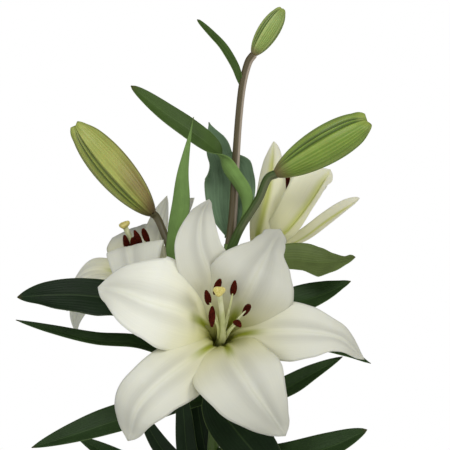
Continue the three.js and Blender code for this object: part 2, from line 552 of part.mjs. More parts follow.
add('vase', vase(), 'glass');
add('water', water(), 'water');
add('leafy_stem', leafyStem(), 'leaf');
for (const [name, given] of Object.entries(BLOOMS)) {
  const bloom = new Bloom(given);
  add(`${name}_petals`, petals(bloom, given), name === 'right_bloom' ? 'half_open_petal' : 'petal');
  add(`${name}_stamens`, stamens(bloom, given), 'stamen');
}
for (const [name, given] of Object.entries(BUDS)) add(name, bud(given), 'bud');

export default part;
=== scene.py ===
"""A cut stem of white lilies standing in a clear glass vase of water.

Shapes are worked out in millimetres, in the frame of the solids: +Z up, the front bloom facing -Y, and
the origin in the middle of the vase's foot. Meshes are written in metres.
"""

import functools  # noqa: E402
import logging  # noqa: E402
import math  # noqa: E402
from dataclasses import dataclass, field  # noqa: E402
from enum import Enum  # noqa: E402
from typing import Callable, Sequence  # noqa: E402

import bpy  # noqa: E402
import numpy as np  # noqa: E402
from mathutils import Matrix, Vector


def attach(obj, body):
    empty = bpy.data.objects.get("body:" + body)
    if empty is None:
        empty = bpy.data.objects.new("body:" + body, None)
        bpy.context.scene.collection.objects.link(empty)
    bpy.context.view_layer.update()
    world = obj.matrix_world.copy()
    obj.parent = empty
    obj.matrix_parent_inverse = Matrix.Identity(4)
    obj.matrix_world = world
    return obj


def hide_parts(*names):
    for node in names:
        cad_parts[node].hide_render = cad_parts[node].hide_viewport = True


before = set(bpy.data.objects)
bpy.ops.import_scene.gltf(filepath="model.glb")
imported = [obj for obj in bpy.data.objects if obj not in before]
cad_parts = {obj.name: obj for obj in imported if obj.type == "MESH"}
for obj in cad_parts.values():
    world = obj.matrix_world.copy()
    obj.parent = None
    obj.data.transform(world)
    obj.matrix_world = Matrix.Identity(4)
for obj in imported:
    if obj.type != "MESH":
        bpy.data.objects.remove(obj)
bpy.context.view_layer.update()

logging.basicConfig(level=logging.INFO, format="%(message)s")
LOG = logging.getLogger("lilies")

MM = 0.001
BODY = "root"
SEED = 7
POLLEN_DENSITY = 1.6e6
POLLEN_RADIUS = 0.14
POLLEN_SIZES = (0.6, 1.3)

Array = np.ndarray
Place = tuple[float, float, float]
Colour = tuple[float, float, float]
Curve = Callable[[Array], Array]


# ---------------------------------------------------------------- numbers


def unit(vectors: Array) -> Array:
    """Scales vectors to length one.

    Args:
        vectors: One vector, or an array of them along its last axis.

    Returns:
        The same directions with length one.
    """
    vectors = np.asarray(vectors, float)
    return vectors / np.linalg.norm(vectors, axis=-1, keepdims=True)


def smooth(start: float, end: float, value: Array) -> Array:
    """A soft step from 0 at start to 1 at end.

    Args:
        start: The value where the step begins.
        end: The value where it is complete.
        value: Where to read it.

    Returns:
        The step's height at each value.
    """
    share = np.clip((np.asarray(value, float) - start) / (end - start), 0, 1)
    return share * share * (3 - 2 * share)


def bell(distance: Array, reach: float) -> Array:
    """A soft bump of height one round zero, which reach measures the half-width of."""
    return np.exp(-((np.asarray(distance, float) / reach) ** 2))


def linear(red: int, green: int, blue: int) -> Colour:
    """Turns a display colour of 0 to 255 into the light that a shader works in.

    Args:
        red: Red, 0 to 255.
        green: Green, 0 to 255.
        blue: Blue, 0 to 255.

    Returns:
        The three linear values, 0 to 1.
    """

    def one(level: int) -> float:
        """One channel's linear value."""
        share = level / 255
        return share / 12.92 if share <= 0.04045 else ((share + 0.055) / 1.055) ** 2.4

    return one(red), one(green), one(blue)


def curve_through(places: Sequence[Sequence[float]]) -> Curve:
    """A smooth curve through places, with the same rule as the solids'.

    Args:
        places: Three or more places in order.

    Returns:
        A function from shares of the curve, 0 to 1, to places on it.
    """
    held = np.asarray(places, float)
    held = np.vstack([2 * held[0] - held[1], held, 2 * held[-1] - held[-2]])
    spans = len(held) - 3

    def at(share: Array) -> Array:
        """Places at these shares of the curve.

        Args:
            share: Shares of the curve, 0 to 1.

        Returns:
            A place for each share.
        """
        along = np.clip(np.asarray(share, float), 0, 1) * spans
        index = np.minimum(along.astype(int), spans - 1)
        w = (along - index)[..., None]
        before, start, end, after = (held[index + step] for step in range(4))
        leave, arrive = (end - before) / 2, (after - start) / 2
        cubic = 2 * start - 2 * end + leave + arrive
        square = 3 * end - 3 * start - 2 * leave - arrive
        return ((cubic * w + square) * w + leave) * w + start

    return at


def tangents(curve: Curve, share: Array) -> Array:
    """Directions along a curve."""
    step = 1e-3
    return unit(curve(np.clip(share + step, 0, 1)) - curve(np.clip(share - step, 0, 1)))


def turns(count: int) -> Array:
    """Even turns once round, in radians, without the last one that closes the circle."""
    return np.linspace(0, 2 * np.pi, count + 1)[:-1]


def around(turn: Array, right: Array, up: Array) -> Array:
    """A ring of directions at these turns, from right towards up."""
    return np.cos(turn)[None, :, None] * right + np.sin(turn)[None, :, None] * up


# ---------------------------------------------------------------- meshes


def hold(name: str, data: bpy.types.ID) -> bpy.types.Object:
    """Puts a mesh, curve, light or camera into the scene as an object.

    Args:
        name: The object's name.
        data: What it shows.

    Returns:
        The new object.
    """
    made = bpy.data.objects.new(name, data)
    bpy.context.scene.collection.objects.link(made)
    return made


def ring_walls(rows: int, sides: int) -> Array:
    """Corners of the faces between rings of points that are numbered ring by ring.

    Args:
        rows: How many rings there are.
        sides: How many points each ring has.

    Returns:
        Four corners for each face.
    """
    row, side = np.meshgrid(np.arange(rows - 1), np.arange(sides), indexing="ij")
    here, there = row * sides + side, row * sides + (side + 1) % sides
    return np.stack([here, there, there + sides, here + sides], -1).reshape(-1, 4)


def smooth_piece(
    name: str, points: Array, faces: list[list[int]], layers: dict[str, Array],
    material: bpy.types.Material,
) -> bpy.types.Object:
    """Makes a smooth mesh object with three numbers of its own at each point.

    Args:
        name: The piece's name.
        points: Places of its points, in metres.
        faces: Corners of its faces.
        layers: Its attributes by name, three numbers for each point.
        material: Its finish.

    Returns:
        The object, at the origin.
    """
    mesh = bpy.data.meshes.new(name)
    mesh.from_pydata(points.tolist(), [], faces)
    mesh.polygons.foreach_set("use_smooth", [True] * len(mesh.polygons))
    for title, values in layers.items():
        layer = mesh.attributes.new(title, "FLOAT_VECTOR", "POINT")
        layer.data.foreach_set("vector", values.astype(np.float32).ravel())
    mesh.materials.append(material)
    mesh.update()
    return hold(name, mesh)


@dataclass
class Draft:
    """A mesh in the making, in millimetres.

    Every point has a grain, which the finishes read: the place across, the face or turn, and the share
    along. Every point also has a tone: its own colour, and on a tepal a grey of painted shade.
    """

    points: list[Array] = field(default_factory=list)
    grains: list[Array] = field(default_factory=list)
    tones: list[Array] = field(default_factory=list)
    faces: list[Array] = field(default_factory=list)
    count: int = 0

    def add(self, points: Array, faces: Array, grain: Array, tone: Colour = (1, 1, 1)) -> None:
        """Adds one closed shell, turned so that its faces point out.

        Args:
            points: Places of its points, one in each row.
            faces: Corners of its faces, four in each row; a triangle repeats its last corner.
            grain: Grain of each point.
            tone: The shell's own colour; on a tepal, a grey of painted shade.
        """
        a, b, c, d = (points[faces[:, corner]] for corner in range(4))
        first = np.einsum("ij,ij->i", a, np.cross(b, c)).sum()
        second = np.einsum("ij,ij->i", a, np.cross(c, d)).sum()
        if first + second < 0:
            faces = faces[:, ::-1]
        self.points.append(points)
        self.grains.append(grain)
        self.tones.append(np.tile(np.asarray(tone, float), (len(points), 1)))
        self.faces.append(faces + self.count)
        self.count += len(points)

    def tube(self, rings: Array, grain: Array, tone: Colour = (1, 1, 1)) -> None:
        """Adds a closed tube of rings, shut by a point at each end.

        Args:
            rings: Places, ring by ring.
            grain: Grain of each place.
            tone: The tube's own colour.
        """
        rows, sides = rings.shape[:2]
        ends = np.stack([rings[0].mean(0), rings[-1].mean(0)])
        points = np.vstack([rings.reshape(-1, 3), ends])
        ends_grain = np.stack([grain[0].mean(0), grain[-1].mean(0)])
        grains = np.vstack([grain.reshape(-1, 3), ends_grain])
        side = np.arange(sides)
        after = (side + 1) % sides
        low = np.full(sides, rows * sides)
        last = (rows - 1) * sides
        bottom = np.stack([after, side, low, low], -1)
        top = np.stack([last + side, last + after, low + 1, low + 1], -1)
        self.add(points, np.vstack([ring_walls(rows, sides), bottom, top]), grains, tone)

    def build(self, name: str, material: bpy.types.Material) -> bpy.types.Object:
        """Makes the mesh object.

        Args:
            name: The piece's name.
            material: Its finish.

        Returns:
            The object, at the origin, in metres.
        """
        corners = np.vstack(self.faces).tolist()
        faces = [face[:3] if face[2] == face[3] else face for face in corners]
        layers = {"grain": np.vstack(self.grains), "tone": np.vstack(self.tones)}
        return smooth_piece(name, np.vstack(self.points) * MM, faces, layers, material)


def settle(piece: bpy.types.Object, node: str) -> None:
    """Makes a piece ride on the part and stand for its node.

    Args:
        piece: The finished piece.
        node: The solid that it stands for.
    """
    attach(piece, BODY)
    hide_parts(node)
    LOG.info("%s: %d faces", piece.name, len(piece.data.polygons))


# ---------------------------------------------------------------- shader sketches


class Sketch:
    """Adds and wires the nodes of one shader tree."""

    def __init__(self, tree: bpy.types.NodeTree) -> None:
        """Keeps the tree that the nodes go into."""
        self.tree = tree

    def node(self, kind: str, **settings: object) -> bpy.types.Node:
        """Adds a node and sets its options.

        Args:
            kind: The node's type.
            settings: Its options by name.

        Returns:
            The node.
        """
        made = self.tree.nodes.new(kind)
        for title, value in settings.items():
            setattr(made, title, value)
        return made

    def feed(self, socket: bpy.types.NodeSocket, value: object) -> None:
        """Wires a socket to another one, or sets its value.

        Args:
            socket: The input to fill.
            value: An output socket, a number, or three numbers.
        """
        if isinstance(value, bpy.types.NodeSocket):
            self.tree.links.new(value, socket)
        elif isinstance(value, (tuple, list)) and socket.type == "RGBA":
            socket.default_value = (*value, 1.0)
        else:
            socket.default_value = value

    def math(self, operation: str, *values: object) -> bpy.types.NodeSocket:
        """A Math node's result.

        Args:
            operation: The sum's name.
            values: Sockets or numbers, in order.

        Returns:
            The result.
        """
        made = self.node("ShaderNodeMath", operation=operation)
        for index, value in enumerate(values):
            self.feed(made.inputs[index], value)
        return made.outputs[0]

    def times(self, first: object, *others: object) -> bpy.types.NodeSocket:
        """The product of two or more values.

        Args:
            first: A socket or a number.
            others: What it is multiplied by.

        Returns:
            The product.
        """
        for other in others:
            first = self.math("MULTIPLY", first, other)
        return first

    def scaled(self, value: object, factor: float, offset: object) -> bpy.types.NodeSocket:
        """A value times a factor, plus an offset."""
        return self.math("MULTIPLY_ADD", value, factor, offset)

    def apart(self, first: object, second: object) -> bpy.types.NodeSocket:
        """How far two values are apart."""
        return self.math("ABSOLUTE", self.math("SUBTRACT", first, second))

    def dimmed(self, colour: object, light: object) -> bpy.types.NodeSocket:
        """A colour multiplied by one number."""
        return self.blend(1.0, colour, self.joined(light, light, light), "MULTIPLY")

    def fade(
        self, value: object, start: float, end: float, low: float = 0.0, high: float = 1.0
    ) -> bpy.types.NodeSocket:
        """A soft step of a value.

        Args:
            value: The socket to read.
            start: Where the step begins.
            end: Where it is complete.
            low: The result at the start.
            high: The result at the end.

        Returns:
            The stepped value.
        """
        made = self.node("ShaderNodeMapRange", interpolation_type="SMOOTHSTEP")
        for title, given in (
            ("Value", value), ("From Min", start), ("From Max", end), ("To Min", low), ("To Max", high)
        ):
            self.feed(made.inputs[title], given)
        return made.outputs["Result"]

    def blend(
        self, share: object, first: object, second: object, mode: str = "MIX"
    ) -> bpy.types.NodeSocket:
        """Two colours mixed by a share.

        Args:
            share: How much of the second shows.
            first: The first colour.
            second: The second colour.
            mode: The way they are mixed.

        Returns:
            The mixed colour.
        """
        made = self.node("ShaderNodeMix", data_type="RGBA", blend_type=mode)
        self.feed(made.inputs["Factor"], share)
        self.feed(made.inputs[6], first)
        self.feed(made.inputs[7], second)
        return made.outputs[2]

    def layered(self, colour: object, *layers: tuple[object, object]) -> bpy.types.NodeSocket:
        """A colour with others laid over it.

        Args:
            colour: The lowest colour.
            layers: A share and a colour for each layer, upwards.

        Returns:
            The layered colour.
        """
        for share, other in layers:
            colour = self.blend(share, colour, other)
        return colour

    def noise(self, where: object, scale: float, detail: float = 3.0) -> bpy.types.NodeSocket:
        """A noise value at a place.

        Args:
            where: The place to read it at.
            scale: How many spots there are to one unit.
            detail: How many finer layers are added.

        Returns:
            The noise, 0 to 1.
        """
        made = self.node("ShaderNodeTexNoise")
        self.feed(made.inputs["Vector"], where)
        self.feed(made.inputs["Scale"], scale)
        self.feed(made.inputs["Detail"], detail)
        return made.outputs["Fac"]

    def attribute(self, title: str) -> bpy.types.NodeSocket:
        """A piece's own attribute as three values."""
        made = self.node("ShaderNodeAttribute", attribute_name=title)
        return made.outputs["Vector"]

    def parts(self, vector: object) -> list[bpy.types.NodeSocket]:
        """The three numbers of a vector.

        Args:
            vector: The vector to split.

        Returns:
            Its three numbers.
        """
        made = self.node("ShaderNodeSeparateXYZ")
        self.feed(made.inputs[0], vector)
        return list(made.outputs)

    def joined(self, x: object, y: object, z: object) -> bpy.types.NodeSocket:
        """A vector of three numbers.

        Args:
            x: The first number.
            y: The second.
            z: The third.

        Returns:
            The vector.
        """
        made = self.node("ShaderNodeCombineXYZ")
        for socket, value in zip(made.inputs, (x, y, z)):
            self.feed(socket, value)
        return made.outputs[0]

    def bump(self, height: object, strength: float, distance: float) -> bpy.types.NodeSocket:
        """A normal that a height bends.

        Args:
            height: The height, 0 to 1.
            strength: How strongly it shows.
            distance: What a height of 1 measures, in millimetres.

        Returns:
            The bent normal.
        """
        made = self.node("ShaderNodeBump")
        self.feed(made.inputs["Strength"], strength)
        self.feed(made.inputs["Distance"], distance * MM)
        self.feed(made.inputs["Height"], height)
        return made.outputs["Normal"]

    def use(self, group: bpy.types.NodeTree, **values: object) -> bpy.types.Node:
        """Places a shared effect with its own values.

        Args:
            group: The shared effect.
            values: Its inputs, in lower case.

        Returns:
            The placed node.
        """
        made = self.node("ShaderNodeGroup", node_tree=group)
        for title, value in values.items():
            self.feed(made.inputs[title.replace("_", " ").title()], value)
        return made


class FinishSketch(Sketch):
    """The sketch of one material, which also fills its Principled shader."""

    def __init__(self, material: bpy.types.Material) -> None:
        """Keeps the material's tree and its shader's inputs."""
        super().__init__(material.node_tree)
        self.shader = material.node_tree.nodes["Principled BSDF"].inputs

    def plain(self, **values: object) -> None:
        """Sets inputs that are the same all over.

        Args:
            values: What each of them is, named in lower case.
        """
        for title, value in values.items():
            title = title.replace("_", " ").title().replace("Ior", "IOR")
            self.shader[title].default_value = value

    def dress(self, colour: object, rough: object, normal: object) -> None:
        """Wires what changes over the surface.

        Args:
            colour: The base colour.
            rough: The roughness.
            normal: The bent normal.
        """
        for title, value in (("Base Color", colour), ("Roughness", rough), ("Normal", normal)):
            self.feed(self.shader[title], value)


class SharedEffect:
    """Effects that several finishes use, each built once as a node group."""

    @staticmethod
    def _group(
        title: str, inputs: Sequence[tuple[str, float]], outputs: Sequence[str]
    ) -> tuple[Sketch, bpy.types.Node, bpy.types.Node]:
        """Starts a group with named number sockets.

        Args:
            title: The group's name.
            inputs: Names of the inputs and what they are by default.
            outputs: Names of the outputs.

        Returns:
            A sketch of the group, and its input and output nodes.
        """
        tree = bpy.data.node_groups.new(title, "ShaderNodeTree")
        for name, value in inputs:
            made = tree.interface.new_socket(name=name, in_out="INPUT", socket_type="NodeSocketFloat")
            made.default_value = value
        for name in outputs:
            tree.interface.new_socket(name=name, in_out="OUTPUT", socket_type="NodeSocketFloat")
        sketch = Sketch(tree)
        return sketch, sketch.node("NodeGroupInput"), sketch.node("NodeGroupOutput")

    @classmethod
    @functools.cache
    def veins(cls) -> bpy.types.NodeTree:
        """Fine veins that run lengthwise, slightly wandering.

        Returns:
            A group from Across, Along and Lines to Ridge and Streak, both 0 to 1.
        """
        inputs = (("Across", 0.0), ("Along", 0.0), ("Lines", 12.0))
        sketch, given, result = cls._group("lengthwise_veins", inputs, ("Ridge", "Streak"))
        across, along, lines = (given.outputs[title] for title, _ in inputs)
        wander = sketch.noise(sketch.joined(sketch.times(across, 2.0), along, 0.0), 3.0, 1.0)
        turn = sketch.scaled(wander, 1.5, sketch.times(across, lines, math.pi))
        ridge = sketch.math("POWER", sketch.scaled(sketch.math("COSINE", turn), 0.5, 0.5), 2.0)
        fine = sketch.joined(sketch.times(across, lines), sketch.times(along, 1.6), 0.0)
        sketch.feed(result.inputs["Ridge"], ridge)
        sketch.feed(result.inputs["Streak"], sketch.noise(fine, 2.2, 4.0))
        return sketch.tree

    @classmethod
    @functools.cache
    def mottle(cls) -> bpy.types.NodeTree:
        """Uneven living tissue: soft patches and a fine skin grain.

        Returns:
            A group from Patch and Grain, in patches to the metre, to Patches and Skin, both 0 to 1.
        """
        inputs = (("Patch", 60.0), ("Grain", 1800.0))
        sketch, given, result = cls._group("tissue_mottle", inputs, ("Patches", "Skin"))
        where = sketch.node("ShaderNodeTexCoord").outputs["Object"]
        for (title, _), target in zip(inputs, ("Patches", "Skin")):
            sketch.feed(result.inputs[target], sketch.noise(where, given.outputs[title], 3.0))
        return sketch.tree


@dataclass(frozen=True)
class Finish:
    """What every finish has: a name, a roughness and a way to fill a Principled shader."""

    name: str
    roughness: float = 0.5

    def build(self) -> bpy.types.Material:
        """Makes the material.

        Returns:
            The material, with its nodes wired.
        """
        material = bpy.data.materials.new(self.name)
        material.use_nodes = True
        sketch = FinishSketch(material)
        sketch.plain(roughness=self.roughness)
        self.wire(sketch)
        return material

    def wandering(self, sketch: Sketch, share: object, spread: float) -> bpy.types.NodeSocket:
        """A roughness that wanders evenly round its own value, as wide as its spread."""
        return sketch.scaled(share, spread, self.roughness - spread / 2)

    def wire(self, sketch: FinishSketch) -> None:
        """Fills the shader's inputs. Each finish has its own way."""
        raise NotImplementedError


@dataclass(frozen=True)
class PetalFinish(Finish):
    """A tepal: white, cream towards the throat, with a green furrow and fine veins.

    The cream and the green throat are partly the tepal's own colour and partly painted shade, with a warm
    tint, deep in the throat. Painted shade darkens the tip and two soft valleys beside the midrib, and each
    tepal's tone, a grey of painted shade, dims the whole tepal.
    """

    white: Colour = linear(246, 247, 232)
    cream: Colour = linear(240, 236, 184)
    throat: Colour = linear(186, 188, 84)
    furrow: Colour = linear(158, 172, 40)
    back: Colour = linear(240, 240, 224)
    midrib: Colour = linear(232, 234, 196)
    cream_reach: tuple[float, float] = (0.12, 0.62)
    midrib_width: float = 0.07
    midrib_front: float = 0.15
    midrib_back: float = 0.6
    # Painted shade: how dark the tip is made, and how much the soft valleys beside the midrib darken.
    tip_shade: float = 0.84
    fold_shade: float = 0.16
    throat_reach: float = 0.36

    def wire(self, sketch: FinishSketch) -> None:
        """Fills the shader's inputs from the grain: across, face and share along.

        Args:
            sketch: The material's sketch.
        """
        across, face, along = sketch.parts(sketch.attribute("grain"))
        off = sketch.math("ABSOLUTE", across)
        veins = sketch.use(SharedEffect.veins(), across=across, along=along, lines=26.0).outputs
        mottle = sketch.use(SharedEffect.mottle(), patch=45.0, grain=1500.0).outputs
        # The cream near the throat is partly the tepal's own tint and partly a warm tint painted for the
        # shade there.
        near = sketch.times(
            sketch.fade(along, *self.cream_reach, 1.0, 0.0),
            sketch.fade(mottle["Patches"], 0.2, 0.8, 0.8, 1.0),
        )
        line = sketch.times(
            sketch.fade(off, 0.0, self.midrib_width, 1.0, 0.0), sketch.fade(along, 0.75, 1.0, 1.0, 0.25),
            sketch.scaled(face, self.midrib_back - self.midrib_front, self.midrib_front),
        )
        groove = sketch.times(sketch.fade(off, 0.05, 0.2, 1.0, 0.0), sketch.fade(along, 0.22, 0.38, 1.0, 0.0))
        # The green throat is partly its own green and partly painted shade deep in the throat.
        throat = sketch.fade(along, 0.06, self.throat_reach, 0.9, 0.0)
        colour = sketch.layered(
            self.white, (face, self.back), (near, self.cream), (line, self.midrib),
            (groove, self.furrow), (throat, self.throat),
        )
        # Painted shade in two soft valleys beside the midrib, weaker on the back face.
        fold = sketch.times(
            sketch.fade(off, 0.04, 0.2), sketch.fade(off, 0.2, 0.55, 1.0, 0.0),
            sketch.fade(along, 0.2, 0.5), sketch.fade(along, 0.75, 1.0, 1.0, 0.3),
            sketch.scaled(face, -0.75, 1.0),
        )
        # Vein streaks, with painted shade towards the tip and in the valleys.
        shade = sketch.times(
            sketch.scaled(veins["Streak"], 0.12, 0.92), sketch.fade(along, 0.68, 1.0, 1.0, self.tip_shade),
            sketch.scaled(fold, -self.fold_shade, 1.0),
        )
        # The tone is each tepal's painted shade, a grey that dims its whole colour.
        colour = sketch.blend(1.0, sketch.dimmed(colour, shade), sketch.attribute("tone"), "MULTIPLY")
        height = sketch.scaled(veins["Streak"], 0.9, sketch.times(mottle["Skin"], 0.15))
        height = sketch.scaled(veins["Ridge"], 0.12, height)
        sketch.dress(colour, self.wandering(sketch, mottle["Skin"], 0.12), sketch.bump(height, 0.35, 0.35))
        sketch.plain(subsurface_weight=0.25, subsurface_radius=(1.0, 0.9, 0.6),
                     subsurface_scale=0.0015, specular_ior_level=0.3)


@dataclass(frozen=True)
class LeafFinish(Finish):
    """A leaf: its own tone above, paler below, with lengthwise veins and a thin pale edge."""

    below: Colour = linear(126, 160, 88)
    edge: Colour = linear(150, 168, 110)
    tip: Colour = linear(84, 76, 40)

    def wire(self, sketch: FinishSketch) -> None:
        """Fills the shader's inputs from the grain and the leaf's tone.

        Args:
            sketch: The material's sketch.
        """
        across, face, along = sketch.parts(sketch.attribute("grain"))
        off = sketch.math("ABSOLUTE", across)
        tone = sketch.attribute("tone")
        veins = sketch.use(SharedEffect.veins(), across=across, along=along, lines=13.0).outputs
        mottle = sketch.use(SharedEffect.mottle(), patch=70.0, grain=2500.0).outputs
        colour = sketch.blend(sketch.times(face, 0.8), tone, self.below)
        light = sketch.times(
            sketch.scaled(mottle["Patches"], 0.8, 0.58), sketch.scaled(veins["Streak"], 0.5, 0.75),
            sketch.scaled(veins["Ridge"], 0.1, 0.95),
        )
        colour = sketch.layered(
            sketch.dimmed(colour, light), (sketch.fade(off, 0.0, 0.07, 0.08, 0.0), self.below),
            (sketch.fade(off, 0.95, 1.0, 0.0, 0.16), self.edge),
            (sketch.fade(along, 0.965, 1.0, 0.0, 0.6), self.tip),
        )
        height = sketch.scaled(veins["Streak"], 0.6, sketch.times(mottle["Skin"], 0.12))
        height = sketch.scaled(veins["Ridge"], 0.25, height)
        sketch.dress(colour, self.wandering(sketch, mottle["Patches"], 0.2), sketch.bump(height, 0.5, 0.5))
        sketch.plain(specular_ior_level=0.16)


@dataclass(frozen=True)
class StalkFinish(Finish):
    """A stalk: its own tone, streaked lengthwise, with a brown flush and a pale painted lit side high up."""

    flush: Colour = linear(86, 74, 46)
    # The pale colour painted on the stalk's lit side high up, as painted light.
    lit: Colour = linear(206, 190, 172)
    flush_from: float = 410.0
    flush_to: float = 420.0
    flush_most: float = 0.8
    ribs: float = 9.0

    def wire(self, sketch: FinishSketch) -> None:
        """Fills the shader's inputs from the grain, the tone and the height above the foot.

        Args:
            sketch: The material's sketch.
        """
        cosine, sine, along = sketch.parts(sketch.attribute("grain"))
        tone = sketch.attribute("tone")
        height = sketch.parts(sketch.node("ShaderNodeTexCoord").outputs["Object"])[2]
        turn = sketch.math("ARCTAN2", sine, cosine)
        veins = sketch.use(
            SharedEffect.veins(), across=cosine, along=sketch.times(along, 4.0), lines=9.0
        ).outputs
        mottle = sketch.use(SharedEffect.mottle(), patch=160.0, grain=3000.0).outputs
        flushed = sketch.fade(height, self.flush_from * MM, self.flush_to * MM, 0.0, self.flush_most)
        uneven = sketch.fade(mottle["Patches"], 0.25, 0.75, 0.6, 1.0)
        # The brown flush high up, and on one side of it the painted lit side.
        colour = sketch.layered(
            tone, (sketch.times(flushed, uneven), self.flush),
            (sketch.times(flushed, sketch.fade(sine, 0.2, 0.8)), self.lit),
        )
        ribs = sketch.scaled(sketch.math("COSINE", sketch.times(turn, self.ribs)), 0.08, 0.95)
        colour = sketch.dimmed(colour, sketch.times(sketch.scaled(veins["Streak"], 0.7, 0.65), ribs))
        relief = sketch.scaled(ribs, 2.0, sketch.times(veins["Streak"], 0.6))
        sketch.dress(colour, self.wandering(sketch, mottle["Skin"], 0.2), sketch.bump(relief, 0.5, 0.3))


@dataclass(frozen=True)
class BudFinish(Finish):
    """A bud: ridged green, with painted shade in its seams and a painted highlight on the edges beside them,
    a flushed base and a pale tip. One side is lightened as painted light, and the side away from it is
    darkened as painted shade.
    """

    green: Colour = linear(112, 140, 46)
    ridge: Colour = linear(156, 176, 82)
    seam: Colour = linear(62, 84, 22)
    base: Colour = linear(120, 92, 70)
    tip: Colour = linear(170, 184, 90)
    flush: Colour = linear(176, 140, 100)
    flush_side: float = 0.0
    flush_most: float = 0.0
    # Painted light: where the lit side turns, and how much it is lightened and the far side darkened.
    lit_side: float = 0.0
    lit_most: float = 0.0

    def wire(self, sketch: FinishSketch) -> None:
        """Fills the shader's inputs from the grain: cosine, sine and share along.

        Args:
            sketch: The material's sketch.
        """
        cosine, sine, along = sketch.parts(sketch.attribute("grain"))
        turn = sketch.math("ARCTAN2", sine, cosine)
        third = 2 * math.pi / 3
        aside = sketch.math("FLOORED_MODULO", sketch.math("ADD", turn, third / 2), third)
        aside = sketch.apart(aside, third / 2)
        # Painted shade darkens the seam grooves, and a painted highlight lightens the raised edges beside
        # them.
        seam = sketch.times(
            sketch.fade(sketch.apart(aside, math.radians(Bud.seam_at)), 0.02, 0.13, 1.0, 0.0),
            sketch.fade(along, 0.02, 0.25, 0.3, 1.0),
        )
        edge = sketch.fade(sketch.apart(aside, math.radians(Bud.edge_at)), 0.0, 0.2, 1.0, 0.0)
        veins = sketch.use(
            SharedEffect.veins(), across=sketch.times(turn, 0.8), along=along, lines=13.0
        ).outputs
        mottle = sketch.use(SharedEffect.mottle(), patch=70.0, grain=2500.0).outputs
        side = sketch.math("COSINE", sketch.math("ADD", turn, -self.flush_side))
        flushed = sketch.times(
            sketch.fade(side, 0.1, 0.95), self.flush_most, sketch.fade(along, 0.35, 0.85, 1.0, 0.15)
        )
        # Painted light: the side turned to lit_side is lightened; the side away from it is darkened as
        # painted shade.
        side = sketch.math("COSINE", sketch.math("ADD", turn, -self.lit_side))
        lit = sketch.times(sketch.fade(side, 0.5, 1.0), self.lit_most, sketch.fade(along, 0.25, 0.6))
        painted_shade_side = sketch.times(sketch.fade(side, 0.35, -0.5, 0.0, 1.0), -0.3)
        colour = sketch.layered(
            self.green, (sketch.times(veins["Ridge"], 0.45), self.ridge), (flushed, self.flush),
            (lit, self.ridge),
        )
        # Painted shade on the side away from the light, a painted highlight on the seam edges, painted shade
        # in the seams, then the base and the tip.
        colour = sketch.layered(
            sketch.dimmed(colour, sketch.scaled(painted_shade_side, self.lit_most, 1.0)),
            (sketch.times(edge, 0.55), self.ridge), (sketch.times(seam, 0.85), self.seam),
            (sketch.fade(along, 0.0, 0.2, 0.75, 0.0), self.base),
            (sketch.fade(along, 0.9, 1.0, 0.0, 0.5), self.tip),
        )
        light = sketch.times(
            sketch.scaled(veins["Streak"], 0.5, 0.75), sketch.scaled(mottle["Patches"], 0.4, 0.8)
        )
        rough = sketch.scaled(mottle["Skin"], 0.15, self.roughness - 0.07)
        height = sketch.scaled(veins["Ridge"], 0.8, sketch.times(veins["Streak"], 0.6))
        sketch.dress(sketch.dimmed(colour, light), rough, sketch.bump(height, 0.5, 0.35))
        sketch.plain(subsurface_weight=0.08, subsurface_scale=0.002)


@dataclass(frozen=True)
class TissueFinish(Finish):
    """Soft or powdery tissue of two near colours, such as a filament, a stigma or an anther."""

    dark: Colour = (0.5, 0.5, 0.5)
    light: Colour = (0.6, 0.6, 0.6)
    patch: float = 400.0
    relief: float = 0.2

    def wire(self, sketch: FinishSketch) -> None:
        """Fills the shader's inputs from the mottling alone.

        Args:
            sketch: The material's sketch.
        """
        mottle = sketch.use(SharedEffect.mottle(), patch=self.patch, grain=4000.0).outputs
        colour = sketch.blend(sketch.fade(mottle["Patches"], 0.3, 0.7), self.dark, self.light)
        normal = sketch.bump(mottle["Skin"], 0.6, self.relief)
        sketch.dress(colour, self.wandering(sketch, mottle["Skin"], 0.2), normal)
        sketch.plain(specular_ior_level=0.08)


@dataclass(frozen=True)
class ClearFinish(Finish):
    """Clear glass or water, with a faint tint and a faint unevenness of its surface."""

    tint: Colour = (0.97, 0.99, 0.98)
    second_tint: Colour = (0.94, 0.98, 0.96)
    bend: float = 1.45
    relief: float = 0.05

    def wire(self, sketch: FinishSketch) -> None:
        """Fills the shader's inputs: light passes through and is bent.

        Args:
            sketch: The material's sketch.
        """
        mottle = sketch.use(SharedEffect.mottle(), patch=22.0, grain=120.0).outputs
        colour = sketch.blend(mottle["Patches"], self.tint, self.second_tint)
        rough = sketch.scaled(mottle["Skin"], 0.012, self.roughness)
        sketch.dress(colour, rough, sketch.bump(mottle["Patches"], 0.3, self.relief))
        sketch.plain(transmission_weight=1.0, ior=self.bend)


# ---------------------------------------------------------------- blades: tepals and leaves


